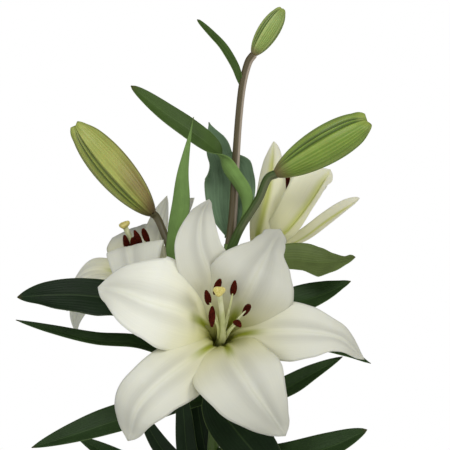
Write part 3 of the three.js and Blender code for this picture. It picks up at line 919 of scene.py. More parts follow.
@dataclass(frozen=True)
class Blade:
    """A thin blade along a midrib. Its width follows share^rise (1 - share)^fall."""

    width: float
    path: tuple[Place, ...]
    rise: float = 0.6
    fall: float = 0.8
    root: float = 0.25
    turn: float = 0.5
    bend: tuple[float, float] = (0.7, 0.35)
    wave: Place = (0.0, 0.0, 0.0)
    edge_lag: float = 1.3
    ripple: float = 0.4
    ripple_turns: tuple[float, float] = (7.0, 3.1)
    rib: float = 0.5
    rib_width: float = 4.0
    ridge: float = 0.5
    ridge_share: float = 0.22
    fold: float = 0.0
    trim: tuple[Place, ...] = ()
    # Painted shade: a grey that dims the whole blade's colour, for a tepal that lies in shade.
    shade: float = 1.0
    thickness: float = 0.9
    edge_thinning: float = 0.62
    tip_thinning: float = 0.35
    tip: float = 0.25
    rows: int = 52
    columns: int = 28
    crowding: float = 1.35

    def share(self, along: Array) -> Array:
        """The blade's width at each share of its length, as a share of the greatest.

        Args:
            along: Shares of the length, 0 to 1.

        Returns:
            The width at each of them, 0 to 1.
        """
        widest = self.rise / (self.rise + self.fall)
        most = widest**self.rise * (1 - widest) ** self.fall
        main = along**self.rise * np.clip(1 - along, 0, 1) ** self.fall / most
        root = self.root * np.sqrt(np.clip(1 - along, 0, 1)) * np.clip(1 - along / widest, 0, 1)
        return np.maximum(main, root)

    def trimmed(self, along: Array, across: Array) -> Array:
        """What the rule's width is multiplied by, for each half of the blade.

        Args:
            along: Share along, one for each row.
            across: Share across, -1 to 1, one for each column.

        Returns:
            Factors, row by row.
        """
        if not self.trim:
            return np.ones((len(along), len(across)))
        at, minus, plus = np.array(((0.0, 1.0, 1.0), *self.trim, (1.0, 1.0, 1.0))).T
        ends = np.concatenate([[0.0], np.diff(at).cumsum()])
        step = np.clip(np.searchsorted(ends, along, side="right") - 1, 0, len(at) - 2)
        share = smooth(0, 1, (along - ends[step]) / (ends[step + 1] - ends[step]))
        share = 0.5 * share + 0.5 * (along - ends[step]) / (ends[step + 1] - ends[step])
        left, right = (one[step] + (one[step + 1] - one[step]) * share for one in (minus, plus))
        return np.where(across[None, :] < 0, left[:, None], right[:, None])

    def relief(self, along: Array, across: Array, half: Array) -> Array:
        """What is added to the bent section: waves at the edges, soft ripples and the midrib.

        Args:
            along: Share along, one for each row.
            across: Share across, -1 to 1, one for each column.
            half: Half of the width at each row.

        Returns:
            Heights above the bent section, row by row.
        """
        height, count, phase = self.wave
        t, s = along[:, None], across[None, :]
        turn = 2 * np.pi * (count * t + phase) + np.where(s > 0, self.edge_lag, 0)
        lift = height * self.share(t) * np.abs(s) ** 3 * np.sin(turn)
        down, over = self.ripple_turns
        own = 9 * phase + self.width
        lift = lift + self.ripple * self.share(t) * np.sin(down * t + over * s + own)
        reach = s * half[:, None]
        shown = smooth(0.12, 0.4, t) * (1 - smooth(0.93, 1.0, t))
        ridge = self.ridge * bell(reach, self.rib_width * self.ridge_share)
        groove = bell(reach, self.rib_width) - ridge
        lift = lift - self.rib * shown * groove
        return lift + self.fold * half[:, None] * np.sqrt(s**2 + 0.01)

    def sheet(
        self, draft: Draft, curve: Curve, side_at: Callable[[Array, Array], Array],
        extra: Callable[[Array, Array, Array], Array] | None = None, tone: Colour = (1, 1, 1),
    ) -> None:
        """Adds the blade to a draft as one closed sheet.

        Args:
            draft: The draft to add to.
            curve: The midrib.
            side_at: The direction across, from shares along and directions along.
            extra: More relief, called as relief is.
            tone: The blade's own colour; on a tepal, a grey of painted shade.
        """
        along = np.linspace(0, 1, self.rows + 1)
        even = np.linspace(-1, 1, self.columns + 1)
        across = np.sign(even) * np.abs(even) ** self.crowding
        forward = tangents(curve, along)
        side = side_at(along, forward)
        side = unit(side - forward * (side * forward).sum(-1, keepdims=True))
        normal = np.cross(forward, side)
        half = np.maximum(self.width / 2 * self.share(along), self.tip)
        bend = self.bend[0] + (self.bend[1] - self.bend[0]) * smooth(0, self.turn, along)
        bend = np.where(np.abs(bend) < 1e-3, 1e-3, bend)[:, None]
        s = across[None, :]
        wide = np.maximum(half[:, None] * self.trimmed(along, across), self.tip)
        lift = wide * (1 - np.cos(bend * s)) / bend + self.relief(along, across, half)
        if extra is not None:
            lift = lift + extra(along, across, half)
        reach = wide * np.sin(bend * s) / bend
        middle = curve(along)[:, None] + reach[..., None] * side[:, None]
        middle = middle + lift[..., None] * normal[:, None]
        face = unit(np.cross(np.gradient(middle, axis=0), np.gradient(middle, axis=1)))
        to_tip = 1 - self.tip_thinning * smooth(0.7, 1, along)[:, None]
        thin = self.thickness / 2 * (1 - self.edge_thinning * s**4) * to_tip
        upper = middle + face * thin[..., None]
        lower = middle - face * thin[..., None]
        self._close(draft, upper, lower, along, across, tone)

    @staticmethod
    def _close(
        draft: Draft, upper: Array, lower: Array, along: Array, across: Array, tone: Colour
    ) -> None:
        """Joins the two faces of a blade round its edge, its root and its tip.

        Args:
            draft: The draft to add to.
            upper: Places of the upper face, row by row.
            lower: Places of the lower face.
            along: Share along of each row.
            across: Share across of each column.
            tone: The blade's own colour; on a tepal, a grey of painted shade.
        """
        rows, columns = upper.shape[:2]
        ring = np.concatenate([upper, lower[:, ::-1]], axis=1)
        sides = 2 * columns
        s = np.concatenate([across, across[::-1]])
        face = np.repeat([0.0, 1.0], columns)
        grain = np.stack(np.broadcast_arrays(s[None, :], face[None, :], along[:, None]), -1)
        step = np.arange(columns - 1)
        shell = [ring_walls(rows, sides)]
        for first, flip in ((0, 1), ((rows - 1) * sides, -1)):
            low = first + sides - 1 - step
            cap = np.stack([first + step, low, low - 1, first + step + 1], -1)
            shell.append(cap[:, ::flip])
        draft.add(ring.reshape(-1, 3), np.vstack(shell), grain.reshape(-1, 3), tone)


# ---------------------------------------------------------------- stalks and pollen, by geometry nodes


class Rule:
    """A geometry node tree in the making: named inputs, a material, and one mesh."""

    def __init__(self, title: str, **inputs: str) -> None:
        """Starts the tree.

        Args:
            title: The tree's name.
            inputs: The kind of each input, such as Float, by name.
        """
        self.tree = bpy.data.node_groups.new(title, "GeometryNodeTree")
        for name, kind in {**inputs, "Material": "Material"}.items():
            self.tree.interface.new_socket(name=name, in_out="INPUT", socket_type=f"NodeSocket{kind}")
        self.tree.interface.new_socket(name="Mesh", in_out="OUTPUT", socket_type="NodeSocketGeometry")
        self.sketch = Sketch(self.tree)
        self.given = self.sketch.node("NodeGroupInput").outputs

    def add(self, kind: str, inputs: dict[str | int, object], **settings: object) -> bpy.types.Node:
        """Adds a node, sets its options and fills its inputs.

        Args:
            kind: The node's type.
            inputs: Its inputs' values or sources, by name or number.
            settings: Its options.

        Returns:
            The node.
        """
        made = self.sketch.node(kind, **settings)
        for title, value in inputs.items():
            self.sketch.feed(made.inputs[title], value)
        return made

    def end(self, made: bpy.types.NodeSocket) -> bpy.types.NodeTree:
        """Realizes what was made and gives it the material.

        Args:
            made: The last node's geometry.

        Returns:
            The whole tree.
        """
        real = self.add("GeometryNodeRealizeInstances", {"Geometry": made}).outputs["Geometry"]
        dressed = self.add("GeometryNodeSetMaterial", {"Geometry": real, "Material": self.given["Material"]})
        self.add("NodeGroupOutput", {"Mesh": dressed.outputs["Geometry"]})
        return self.tree


@functools.cache
def stalk_sweep() -> bpy.types.NodeTree:
    """Builds the tree that turns a curve with radii into a round, closed stalk.

    Returns:
        A tree with the inputs Sides, Tone and Material. It stores the grain and the tone of each point.
    """
    rule = Rule("stalk_sweep", Curve="Geometry", Sides="Int", Tone="Vector")
    ring = rule.add("GeometryNodeCurvePrimitiveCircle", {"Radius": 1.0, "Resolution": rule.given["Sides"]})
    sketch = rule.sketch
    held = []
    for source in (rule.given["Curve"], ring.outputs["Curve"]):
        capture = sketch.node("GeometryNodeCaptureAttribute")
        capture.capture_items.new("FLOAT", "Share")
        sketch.feed(capture.inputs["Geometry"], source)
        sketch.feed(capture.inputs["Share"], sketch.node("GeometryNodeSplineParameter").outputs["Factor"])
        held.append(capture.outputs)
    way, profile = held
    sweep = rule.add("GeometryNodeCurveToMesh", {
        "Fill Caps": True, "Curve": way["Geometry"], "Profile Curve": profile["Geometry"],
        "Scale": sketch.node("GeometryNodeInputRadius").outputs["Radius"],
    })
    turn = sketch.times(profile["Share"], 2 * math.pi)
    grain = sketch.joined(sketch.math("COSINE", turn), sketch.math("SINE", turn), way["Share"])
    last = sweep.outputs["Mesh"]
    for title, value in (("grain", grain), ("tone", rule.given["Tone"])):
        store = rule.add(
            "GeometryNodeStoreNamedAttribute", {"Name": title, "Geometry": last, "Value": value},
            data_type="FLOAT_VECTOR", domain="POINT",
        )
        last = store.outputs["Geometry"]
    return rule.end(rule.add("GeometryNodeSetShadeSmooth", {"Geometry": last}).outputs["Geometry"])


@functools.cache
def pollen_dust() -> bpy.types.NodeTree:
    """Builds the tree that strews fine grains over a surface.

    Returns:
        A tree with the inputs Density, Radius and Material, and a fixed seed.
    """
    rule = Rule("pollen_dust", Surface="Geometry", Density="Float", Radius="Float")
    strew = rule.add("GeometryNodeDistributePointsOnFaces", {
        "Mesh": rule.given["Surface"], "Density": rule.given["Density"], "Seed": SEED,
    }).outputs
    grain = rule.add("GeometryNodeMeshIcoSphere", {"Subdivisions": 1, "Radius": rule.given["Radius"]})
    least, most = POLLEN_SIZES
    size = rule.add("FunctionNodeRandomValue", {2: least, 3: most, "Seed": SEED}, data_type="FLOAT")
    placed = rule.add("GeometryNodeInstanceOnPoints", {
        "Points": strew["Points"], "Rotation": strew["Rotation"],
        "Instance": grain.outputs["Mesh"], "Scale": size.outputs[1],
    })
    return rule.end(placed.outputs["Instances"])


def tree_mesh(
    holder: bpy.types.Object, tree: bpy.types.NodeTree, values: dict[str, object]
) -> bpy.types.Mesh:
    """Runs a geometry node tree on an object and keeps the result as a plain mesh.

    Args:
        holder: The object to run it on. It is removed afterwards.
        tree: The tree.
        values: The tree's inputs by name.

    Returns:
        The new mesh.
    """
    modifier = holder.modifiers.new("rule", "NODES")
    modifier.node_group = tree
    for item in tree.interface.items_tree:
        if item.item_type == "SOCKET" and item.in_out == "INPUT" and item.name in values:
            modifier[item.identifier] = values[item.name]
    holder.update_tag()
    bpy.context.view_layer.update()
    evaluated = holder.evaluated_get(bpy.context.evaluated_depsgraph_get())
    mesh = bpy.data.meshes.new_from_object(evaluated)
    holder.modifiers.remove(modifier)
    bpy.data.objects.remove(holder)
    return mesh


@dataclass(frozen=True)
class Stalk:
    """One round stalk: places that it runs through, its radii, and its tone."""

    path: tuple[Place, ...]
    radii: tuple[float, ...]
    tone: Colour
    steps: int = 48
    sides: int = 20

    def radius_at(self, share: Array) -> Array:
        """The radius at shares of the length."""
        return np.interp(share, np.linspace(0, 1, len(self.radii)), self.radii)

    def mesh(self, material: bpy.types.Material) -> bpy.types.Mesh:
        """Sweeps the stalk.

        Args:
            material: Its finish.

        Returns:
            The stalk's mesh, in metres.
        """
        share = np.linspace(0, 1, self.steps + 1)
        places = curve_through(self.path)(share) * MM
        curve = bpy.data.curves.new("stalk", "CURVE")
        curve.dimensions = "3D"
        spline = curve.splines.new("POLY")
        spline.points.add(len(share) - 1)
        spline.points.foreach_set("co", np.hstack([places, np.ones((len(share), 1))]).ravel())
        spline.points.foreach_set("radius", self.radius_at(share) * MM)
        values = {"Sides": self.sides, "Tone": self.tone, "Material": material}
        return tree_mesh(hold("stalk", curve), stalk_sweep(), values)


def join_meshes(
    name: str, meshes: Sequence[bpy.types.Mesh], material: bpy.types.Material
) -> bpy.types.Object:
    """Joins meshes into one piece.

    Args:
        name: The piece's name.
        meshes: The meshes, in metres.
        material: The piece's finish.

    Returns:
        The new object.
    """
    points: list[Array] = []
    faces: list[list[int]] = []
    layers: dict[str, list[Array]] = {"grain": [], "tone": []}
    count = 0
    for mesh in meshes:
        places = np.empty(3 * len(mesh.vertices), np.float32)
        mesh.vertices.foreach_get("co", places)
        points.append(places.reshape(-1, 3))
        faces += [[corner + count for corner in face.vertices] for face in mesh.polygons]
        for title, held in layers.items():
            values = np.zeros(3 * len(mesh.vertices), np.float32)
            if title in mesh.attributes:
                mesh.attributes[title].data.foreach_get("vector", values)
            held.append(values)
        count += len(mesh.vertices)
    joined = {title: np.concatenate(held) for title, held in layers.items()}
    return smooth_piece(name, np.vstack(points), faces, joined, material)


# ---------------------------------------------------------------- blooms

INNER = {"rise": 1.1, "fall": 0.85}
OUTER = {"rise": 0.95, "fall": 0.9}
BLOOM_ROOT = 4.0
RECEPTACLE_TOP = 3.3
FILAMENT_TONE = linear(196, 206, 150)


def tepal(width: float, *path: Place, **shape: object) -> Blade:
    """A tepal's blade. Its path is radius, degrees round the bloom and height, after its root.

    Args:
        width: Its greatest width.
        path: Places that its midrib runs through.
        shape: What differs from a usual tepal.

    Returns:
        The blade, with its root put first.
    """
    usual = {"root": 0.16, "turn": 0.4, "bend": (1.0, -0.25), "rib": 0.7, "ripple": 0.5}
    return Blade(width=width, path=((BLOOM_ROOT, path[0][1], 0.0), *path), **{**usual, **shape})


@dataclass(frozen=True)
class Anther:
    """An anther: where its filament ends, and the way that it lies."""

    at: Place
    along: Place


@dataclass(frozen=True)
class Bloom:
    """An open bloom on its base, with six tepals, six stamens and a pistil."""

    name: str
    base: Place
    axis: Place
    tepals: tuple[Blade, ...]
    anthers: tuple[Anther, ...]
    stigma: Place
    petal_slot: str = "white_petal"
    receptacle_radii: tuple[float, ...] = (3.4, 5.0, 4.7, 4.0)
    receptacle_heights: tuple[float, ...] = (-4.0, -0.5, 2.3, 3.0)
    furrow_at: float = 2.6
    filament_radii: tuple[float, ...] = (1.3, 1.5, 1.35, 1.0, 0.7, 0.45)
    style_radii: tuple[float, ...] = (1.9, 2.2, 2.3, 2.1, 1.9, 1.8, 1.7, 1.7, 2.0)
    stigma_radii: tuple[float, ...] = (1.6, 2.6, 3.5, 3.9, 3.6, 2.6, 1.3, 0.4)
    stigma_heights: tuple[float, ...] = (-1.9, -1.6, -0.8, 0.3, 1.4, 1.9, 1.5, 1.1)
    stigma_lobing: float = 0.16
    anther_length: float = 14.0
    anther_width: float = 4.6
    anther_flatness: float = 0.75
    anther_bow: float = 1.2

    @property
    def directions(self) -> tuple[Array, Array, Array]:
        """The directions right, up and along the bloom's axis.

        Returns:
            Three unit vectors.
        """
        axis = unit(self.axis)
        right = unit(np.cross([0.0, 0.0, 1.0], axis))
        return right, np.cross(axis, right), axis

    def radial(self, degrees: Array) -> Array:
        """The direction out from the axis, at a turn in degrees.

        Args:
            degrees: Turns round the axis.

        Returns:
            A unit vector for each turn.
        """
        right, up, _ = self.directions
        turn = np.radians(np.asarray(degrees, float))[..., None]
        return np.cos(turn) * right + np.sin(turn) * up

    def places(self, given: Sequence[Place]) -> Array:
        """Places from radius, degrees and height.

        Args:
            given: Radius, degrees and height above the base, row by row.

        Returns:
            A place for each row.
        """
        given = np.asarray(given, float)
        _, _, axis = self.directions
        out = given[:, :1] * self.radial(given[:, 1])
        return np.asarray(self.base) + out + given[:, 2:] * axis

    @staticmethod
    def nectary(along: Array, across: Array, half: Array) -> Array:
        """The furrow at a tepal's root, between two ridges.

        Args:
            along: Share along, one for each row.
            across: Share across, one for each column.
            half: Half of the width at each row.

        Returns:
            Heights to add, row by row.
        """
        reach = np.abs(across)[None, :] * half[:, None]
        shown = (smooth(0.02, 0.1, along) * (1 - smooth(0.2, 0.32, along)))[:, None]
        return shown * (bell(reach - Bloom.furrow_at, 1.1) - 0.7 * bell(reach, 1.4))

    def petal_draft(self) -> Draft:
        """Shapes the six tepals and the receptacle that they grow from.

        Returns:
            A draft of seven closed shells.
        """
        draft = Draft()
        _, _, axis = self.directions
        for blade in self.tepals:
            across = np.cross(axis, self.radial(blade.path[3][1]))
            # Each tepal's shade goes in as its tone, a grey of painted shade.
            blade.sheet(
                draft, curve_through(self.places(blade.path)),
                lambda along, forward, across=across: np.tile(across, (len(along), 1)),
                self.nectary, (blade.shade, blade.shade, blade.shade),
            )
        height = np.linspace(self.receptacle_heights[0], self.receptacle_heights[-1], 9)[:, None]
        turn = turns(32)[None, :]
        radius = np.interp(height, self.receptacle_heights, self.receptacle_radii)
        radius = radius * (1 + 0.05 * np.cos(6 * turn))
        given = np.stack(np.broadcast_arrays(radius, np.degrees(turn), height), -1)
        rings = self.places(given.reshape(-1, 3)).reshape(given.shape)
        draft.tube(rings, np.zeros_like(rings))
        return draft

    def filament(self, anther: Anther) -> Stalk:
        """The filament of an anther.

        Args:
            anther: The anther that it carries.

        Returns:
            The stalk.
        """
        out, turn, rise = anther.at
        foot = RECEPTACLE_TOP + 0.6
        path = ((1.4, turn, foot), (2.6, turn, 24.0), (0.5 * out, turn, 0.8 * rise), (out, turn, rise))
        places = tuple(map(tuple, self.places(path)))
        return Stalk(places, self.filament_radii, FILAMENT_TONE, steps=24, sides=12)

    def style(self) -> Stalk:
        """The pistil's ovary and style, up to the stigma.

        Returns:
            The stalk.
        """
        out, turn, rise = self.stigma
        path = ((0.0, turn, RECEPTACLE_TOP), (0.0, turn, 30.0), (0.4 * out, turn, 0.72 * rise), self.stigma)
        places = tuple(map(tuple, self.places(path)))
        return Stalk(places, self.style_radii, FILAMENT_TONE, steps=40, sides=18)

    def anther_draft(self) -> Draft:
        """Shapes the anthers: two lobes, a furrow between them, and a slight bow.

        Returns:
            A draft of one closed tube for each anther.
        """
        draft = Draft()
        rows, sides = 22, 20
        share = np.linspace(0, 1, rows + 1)
        turn = turns(sides)
        for number, anther in enumerate(self.anthers):
            middle = self.places([anther.at])[0]
            along = unit(anther.along)
            wide = unit(np.cross(along, [0.1, -1.0, 0.2]))
            deep = np.cross(wide, along)
            full = np.sin(np.pi * (0.04 + 0.92 * share)) ** (0.55 + 0.06 * (number % 3))
            lobed = 1 - 0.3 * bell(np.cos(turn), 0.35) * np.abs(np.sin(turn))
            radius = self.anther_width / 2 * full[:, None] * lobed[None, :]
            bow = self.anther_bow * (4 * (share - 0.5) ** 2 - 0.5)
            centre = middle + (share - 0.5)[:, None] * self.anther_length * along
            centre = centre + bow[:, None] * deep * (1 if number % 2 else -1)
            rings = centre[:, None] + radius[..., None] * around(turn, wide, self.anther_flatness * deep)
            draft.tube(rings, np.zeros_like(rings))
        return draft

    def stigma_draft(self) -> Draft:
        """Shapes the stigma: a cushion of three lobes with a dimple between them.

        Returns:
            A draft of one closed tube.
        """
        draft = Draft()
        style = curve_through(self.style().path)
        middle = style(np.array([1.0]))[0]
        axis = tangents(style, np.array([1.0]))[0]
        right = unit(np.cross(axis, [0.2, -1.0, 0.1]))
        up = np.cross(axis, right)
        turn = turns(42)
        radius, height = np.array(self.stigma_radii), np.array(self.stigma_heights)
        lobes = 1 + self.stigma_lobing * np.cos(3 * turn)[None, :] * smooth(1, 3, radius)[:, None]
        wide = radius[:, None] * lobes
        rings = middle + wide[..., None] * around(turn, right, up) + height[:, None, None] * axis
        draft.tube(rings, np.zeros_like(rings))
        return draft

    def build(self, finishes: dict[str, bpy.types.Material]) -> None:
        """Makes the bloom's pieces.

        Args:
            finishes: Materials by finish name.
        """
        petals = self.petal_draft().build(f"{self.name}_tepals", finishes[self.petal_slot])
        settle(petals, f"{self.name}_petals")
        stalks = [self.filament(one).mesh(finishes["filament"]) for one in self.anthers]
        filaments = join_meshes(f"{self.name}_filaments", stalks, finishes["filament"])
        stalk = self.style().mesh(finishes["filament"])
        style = join_meshes(f"{self.name}_style", [stalk], finishes["filament"])
        stigma = self.stigma_draft().build(f"{self.name}_stigma", finishes["stigma"])
        anthers = self.anther_draft().build(f"{self.name}_anthers", finishes["anther"])
        values = {"Density": POLLEN_DENSITY, "Radius": POLLEN_RADIUS * MM, "Material": finishes["pollen"]}
        dust = tree_mesh(hold("dusted", anthers.data.copy()), pollen_dust(), values)
        pollen = join_meshes(f"{self.name}_pollen", [dust], finishes["pollen"])
        for piece in (filaments, style, stigma, anthers, pollen):
            settle(piece, f"{self.name}_stamens")


FRONT_BLOOM = Bloom(
    name="front_bloom",
    base=(21.6, -35.0, 336.0),
    axis=(0.11, -0.96, 0.26),
    tepals=(
        tepal(60, (14, 147, 32), (32, 157, 54), (53, 161, 61), (74, 159, 54), (90, 159, 42),
              **INNER, wave=(1.2, 1.1, 0.2), rib=1.0, shade=0.99,
              trim=((0.2, 1.0, 1.05), (0.35, 1.08, 1.05), (0.5, 1.16, 0.95), (0.6, 1.17, 0.82),
                    (0.7, 1.1, 0.78), (0.8, 0.97, 0.74), (0.9, 1.0, 0.7))),
        tepal(35, (14, 99, 30), (37, 104, 50), (59, 106, 57), (79, 101, 54), (93, 95, 44),
              **OUTER, wave=(0.8, 1.0, 0.6), rib=0.5, bend=(1.0, 0.15), shade=0.74,
              trim=((0.3, 1, 1.1), (0.45, 0.95, 1.2), (0.6, 0.8, 1.05), (0.8, 0.75, 0.75),
                    (0.9, 0.75, 0.85))),
        tepal(60, (12, 61, 32), (26, 60, 54), (43, 61, 61), (63, 61, 55), (82, 61, 44),
              rise=0.9, fall=0.95, wave=(2.6, 1.5, 0.05), rib=1.0, ridge=0.3, shade=0.71,
              trim=((0.3, 1.05, 1), (0.5, 1.02, 1), (0.62, 0.98, 0.94), (0.72, 0.82, 0.82),
                    (0.8, 0.54, 0.7), (0.9, 0.7, 0.88), (0.97, 1.3, 1.7))),
        tepal(36, (12, 9, 30), (33, 0, 50), (57, -2, 56), (78, -4, 50), (96, -10, 36),
              **OUTER, wave=(0.8, 1.0, 0.3), rib=1.0, ridge=0.3, shade=0.81,
              trim=((0.3, 1.1, 1.1), (0.48, 1.15, 1.15), (0.6, 1, 1), (0.74, 0.76, 0.78),
                    (0.85, 0.78, 0.8))),
        tepal(62, (6.5, -74, 32), (22, -77, 54), (41, -71, 61), (60, -65, 55), (79, -61, 42),
              **INNER, wave=(1.4, 1.2, 0.45), rib=1.6, ridge=0.5, rib_width=5.0, shade=0.76,
              trim=((0.4, 1.12, 0.93), (0.6, 0.9, 0.86), (0.8, 0.82, 0.72), (0.9, 0.88, 0.7))),
        tepal(43, (10, -145, 30), (36, -143, 50), (63, -142, 56), (82, -139, 50), (96, -133, 36),
              rise=0.95, fall=0.7, wave=(0.8, 0.9, 0.8), rib=1.8, rib_width=5.0, ridge=0.25,
              bend=(1.0, -0.6), shade=0.86,
              trim=((0.4, 1, 1.2), (0.6, 0.92, 0.97), (0.8, 1.06, 0.93), (0.9, 1.3, 0.9),
                    (0.96, 1.5, 1))),
    ),
    anthers=(
        Anther((24, 122, 60), (-0.12, -0.72, 0.68)), Anther((29, 102, 60), (0.3, -0.6, 0.74)),
        Anther((27, 80, 60), (0.13, -0.66, 0.74)), Anther((18, 44, 60), (0.3, -0.78, 0.54)),
        Anther((8, 30, 56), (0.28, -0.94, -0.2)), Anther((13, 140, 58), (0.02, -0.12, 0.99)),
    ),
    stigma=(22, 108, 76),
)

LEFT_BLOOM = Bloom(
    name="left_bloom",
    base=(-19.0, 25.0, 357.0),
    axis=(-0.3, -0.45, 0.84),
    tepals=(
        tepal(46, (10, 120, 30), (18, 120, 46), (27, 120, 53), (38, 120, 52), (50, 120, 41),
              (60, 120, 26), **INNER, wave=(1.0, 1.0, 0.2), shade=0.76,
              trim=((0.2, 1, 1.25), (0.35, 0.7, 1.3), (0.6, 0.5, 0.95), (0.8, 0.7, 0.9))),
        tepal(38, (12, 200, 28), (27, 200, 43), (43, 200, 45), (57, 200, 35), (64, 201, 25),
              (66, 202, 17), **OUTER, shade=0.96),
        tepal(28, (10, 75, 30), (18, 75, 46), (28, 75, 60), (40, 75, 74), **OUTER, bend=(1.0, 0.5),
              shade=0.95, trim=((0.3, 0.7, 1), (0.5, 0.55, 1), (0.75, 0.85, 1))),
        tepal(34, (11, 45, 30), (22, 45, 46), (36, 42, 62), (50, 38, 77), **INNER, bend=(1.0, 0.2),
              shade=0.95, trim=((0.3, 0.35, 0.5), (0.6, 0.35, 0.42), (0.8, 0.5, 0.55), (0.95, 1, 1.2))),
        tepal(50, (9, -60, 30), (15, -60, 52), (22, -60, 69), (33, -60, 71), (46, -60, 60),
              (56, -60, 42), **INNER, wave=(1.0, 1.0, 0.7), shade=0.82,
              trim=((0.3, 0.8, 1), (0.5, 0.62, 1), (0.7, 0.65, 1), (0.9, 0.8, 1))),
        tepal(36, (11, -120, 30), (24, -120, 44), (38, -120, 48), (52, -120, 42), (61, -121, 31),
              (64, -122, 18), **OUTER, trim=((0.7, 0.85, 0.85), (0.9, 0.75, 0.75))),
    ),
    anthers=(
        Anther((6, 200, 60), (-0.15, -0.55, 0.8)), Anther((4, 300, 60), (-0.2, -0.6, 0.78)),
        Anther((3.4, 60, 61), (-0.3, -0.5, 0.8)), Anther((9, 42, 61), (-0.3, -0.5, 0.8)),
        Anther((5, 130, 55), (-0.1, 0.3, 0.95)), Anther((6, 165, 56), (-0.3, 0.3, 0.85)),
    ),
    stigma=(7, 150, 72),
)

NARROW = {"rise": 0.9, "fall": 0.75}
RIGHT_BLOOM = Bloom(
    name="right_bloom",
    base=(49.5, 50.0, 388.4),
    axis=(0.5, 0.2, 0.84),
    petal_slot="half_open_petal",
    tepals=(
        tepal(27, (20, 134, 12), (31, 134, 26), (38, 128, 46), (42, 117, 66), (44, 106, 81),
              rise=0.7, fall=0.7, bend=(1.3, 1.0),
              trim=((0.15, 1.6, 1.1), (0.35, 1.7, 1.1), (0.6, 1.35, 0.95), (0.85, 1.3, 0.8))),
        tepal(36, (20, 160, 15), (33, 170, 31), (39, 173, 50), (39, 174, 69), (36, 175, 82),
              rise=0.8, fall=0.7, bend=(0.9, 0.3),
              trim=((0.15, 0.8, 0.6), (0.35, 0.9, 0.4), (0.6, 1.1, 0.22), (0.8, 1.4, 0.25),
                    (0.93, 1.3, 0.7))),
        tepal(17, (9, 200, 16), (22, 214, 35), (31, 215, 52), (37, 219, 66), (42, 225, 79),
              rise=0.6, fall=0.55, bend=(0.9, 0.5)),
        tepal(30, (9, 11, 20), (17, -2, 40), (18, -6, 56), (15, -12, 69), (8, -27, 79), **NARROW),
        tepal(24, (10, 53, 14), (17, 44, 32), (22, 50, 51), (26, 57, 67), (29, 63, 78), **NARROW),
        tepal(24, (5.5, -57, 19), (10, -55, 40), (13, -64, 57), (13, -81, 72), (11, -101, 83), **NARROW,
              trim=((0.2, 0.5, 1), (0.5, 0.3, 1), (0.85, 0.3, 1))),
    ),
    anthers=(
        Anther((20, 118, 62), (0.35, 0.2, 0.9)), Anther((17, 150, 60), (0.5, -0.1, 0.85)),
        Anther((10, 200, 58), (0.6, 0.1, 0.8)), Anther((8, 260, 56), (0.6, 0.4, 0.7)),
        Anther((8, 330, 56), (0.5, 0.3, 0.8)), Anther((12, 60, 58), (0.4, 0.2, 0.9)),
    ),
    stigma=(16, 89, 74),
)


BLOOMS = (FRONT_BLOOM, LEFT_BLOOM, RIGHT_BLOOM)


# ---------------------------------------------------------------- buds


@dataclass(frozen=True)
class Bud:
    """A closed bud: three outer tepals with seams beside them, shut over three inner ones."""

    name: str
    base: Place
    tip: Place
    radius: float
    turn: float
    finish: BudFinish
    fall: float = 0.55
    seam_depth: float = 0.1
    seam_at: float = 9.0
    edge_at: float = 24.0
    ridge_at: float = 22.0
    ridge_height: float = 0.025
    lobing: float = 0.03
    vein_count: int = 39
    vein_height: float = 0.006
    hood: float = 0.16
    notch: float = 0.014
    rise: float = 0.62
    rows: int = 90
    sides: int = 180

    def draft(self) -> Draft:
        """Shapes the bud.

        Returns:
            A draft of one closed tube.
        """
        base, tip = np.asarray(self.base), np.asarray(self.tip)
        axis = unit(tip - base)
        front = unit(np.cross(np.cross(axis, [0.0, -1.0, 0.0]), axis))
        right = np.cross(axis, front)
        along = np.linspace(0, 1, self.rows + 1) ** 0.9
        angle = turns(self.sides)
        own = angle - math.radians(self.turn)
        full = (along + 0.03) ** self.rise * (1.02 - along) ** self.fall
        radius = self.radius * full / full.max()
        lobe = np.cos(3 * own)
        aside = np.abs((np.degrees(own) + 60) % 120 - 60)
        shown = smooth(0.02, 0.2, along)[:, None]
        depth = self.seam_depth * (0.6 + 0.9 * smooth(0.55, 1, along))[:, None]
        seam = bell(aside - self.seam_at, 4.5) + 0.45 * bell(aside, 14)
        ridge = self.ridge_height * bell(aside - self.ridge_at, 8)
        section = 1 - self.lobing * lobe - shown * (depth * seam - ridge)
        veins = self.vein_height * np.cos(self.vein_count * own)
        hood = 1 + self.hood * smooth(0.88, 0.99, along)[:, None] * np.maximum(-lobe, 0)
        radii = radius[:, None] * (section + shown * veins) * hood
        length = np.linalg.norm(tip - base)
        reach = (along[:, None] - self.notch * smooth(0.8, 1, along)[:, None] * (lobe + 1)) * length
        rings = base + reach[..., None] * axis + radii[..., None] * around(angle, front, right)
        grain = np.stack(np.broadcast_arrays(np.cos(own), np.sin(own), along[:, None]), -1)
        made = Draft()
        made.tube(rings, grain)
        return made

    def build(self) -> None:
        """Makes the bud's piece."""
        settle(self.draft().build(f"{self.name}_tepals", self.finish.build()), self.name)


BUDS = (
    Bud("right_bud", (61.8, -13.0, 454.9), (125.6, -24.0, 491.4), 13.5, -37.0,
        BudFinish("right_bud_skin", 0.42), fall=0.45),
    Bud("left_bud", (-24.5, 0.0, 427.6), (-77.9, -12.0, 489.8), 13.2, -36.0,
        BudFinish("left_bud_skin", 0.42, green=linear(128, 142, 54), ridge=linear(190, 198, 106),
                  seam=linear(84, 100, 36), flush=linear(150, 108, 80),
                  base=linear(104, 76, 56), flush_side=1.6, flush_most=0.5, lit_side=0.9, lit_most=0.5)),
    Bud("top_bud", (46.2, 0.0, 538.5), (66.9, -2.0, 570.9), 7.4, -45.0,
        BudFinish("top_bud_skin", 0.45, green=linear(126, 150, 66), ridge=linear(190, 204, 128))),
)


# ---------------------------------------------------------------- stem and leaves


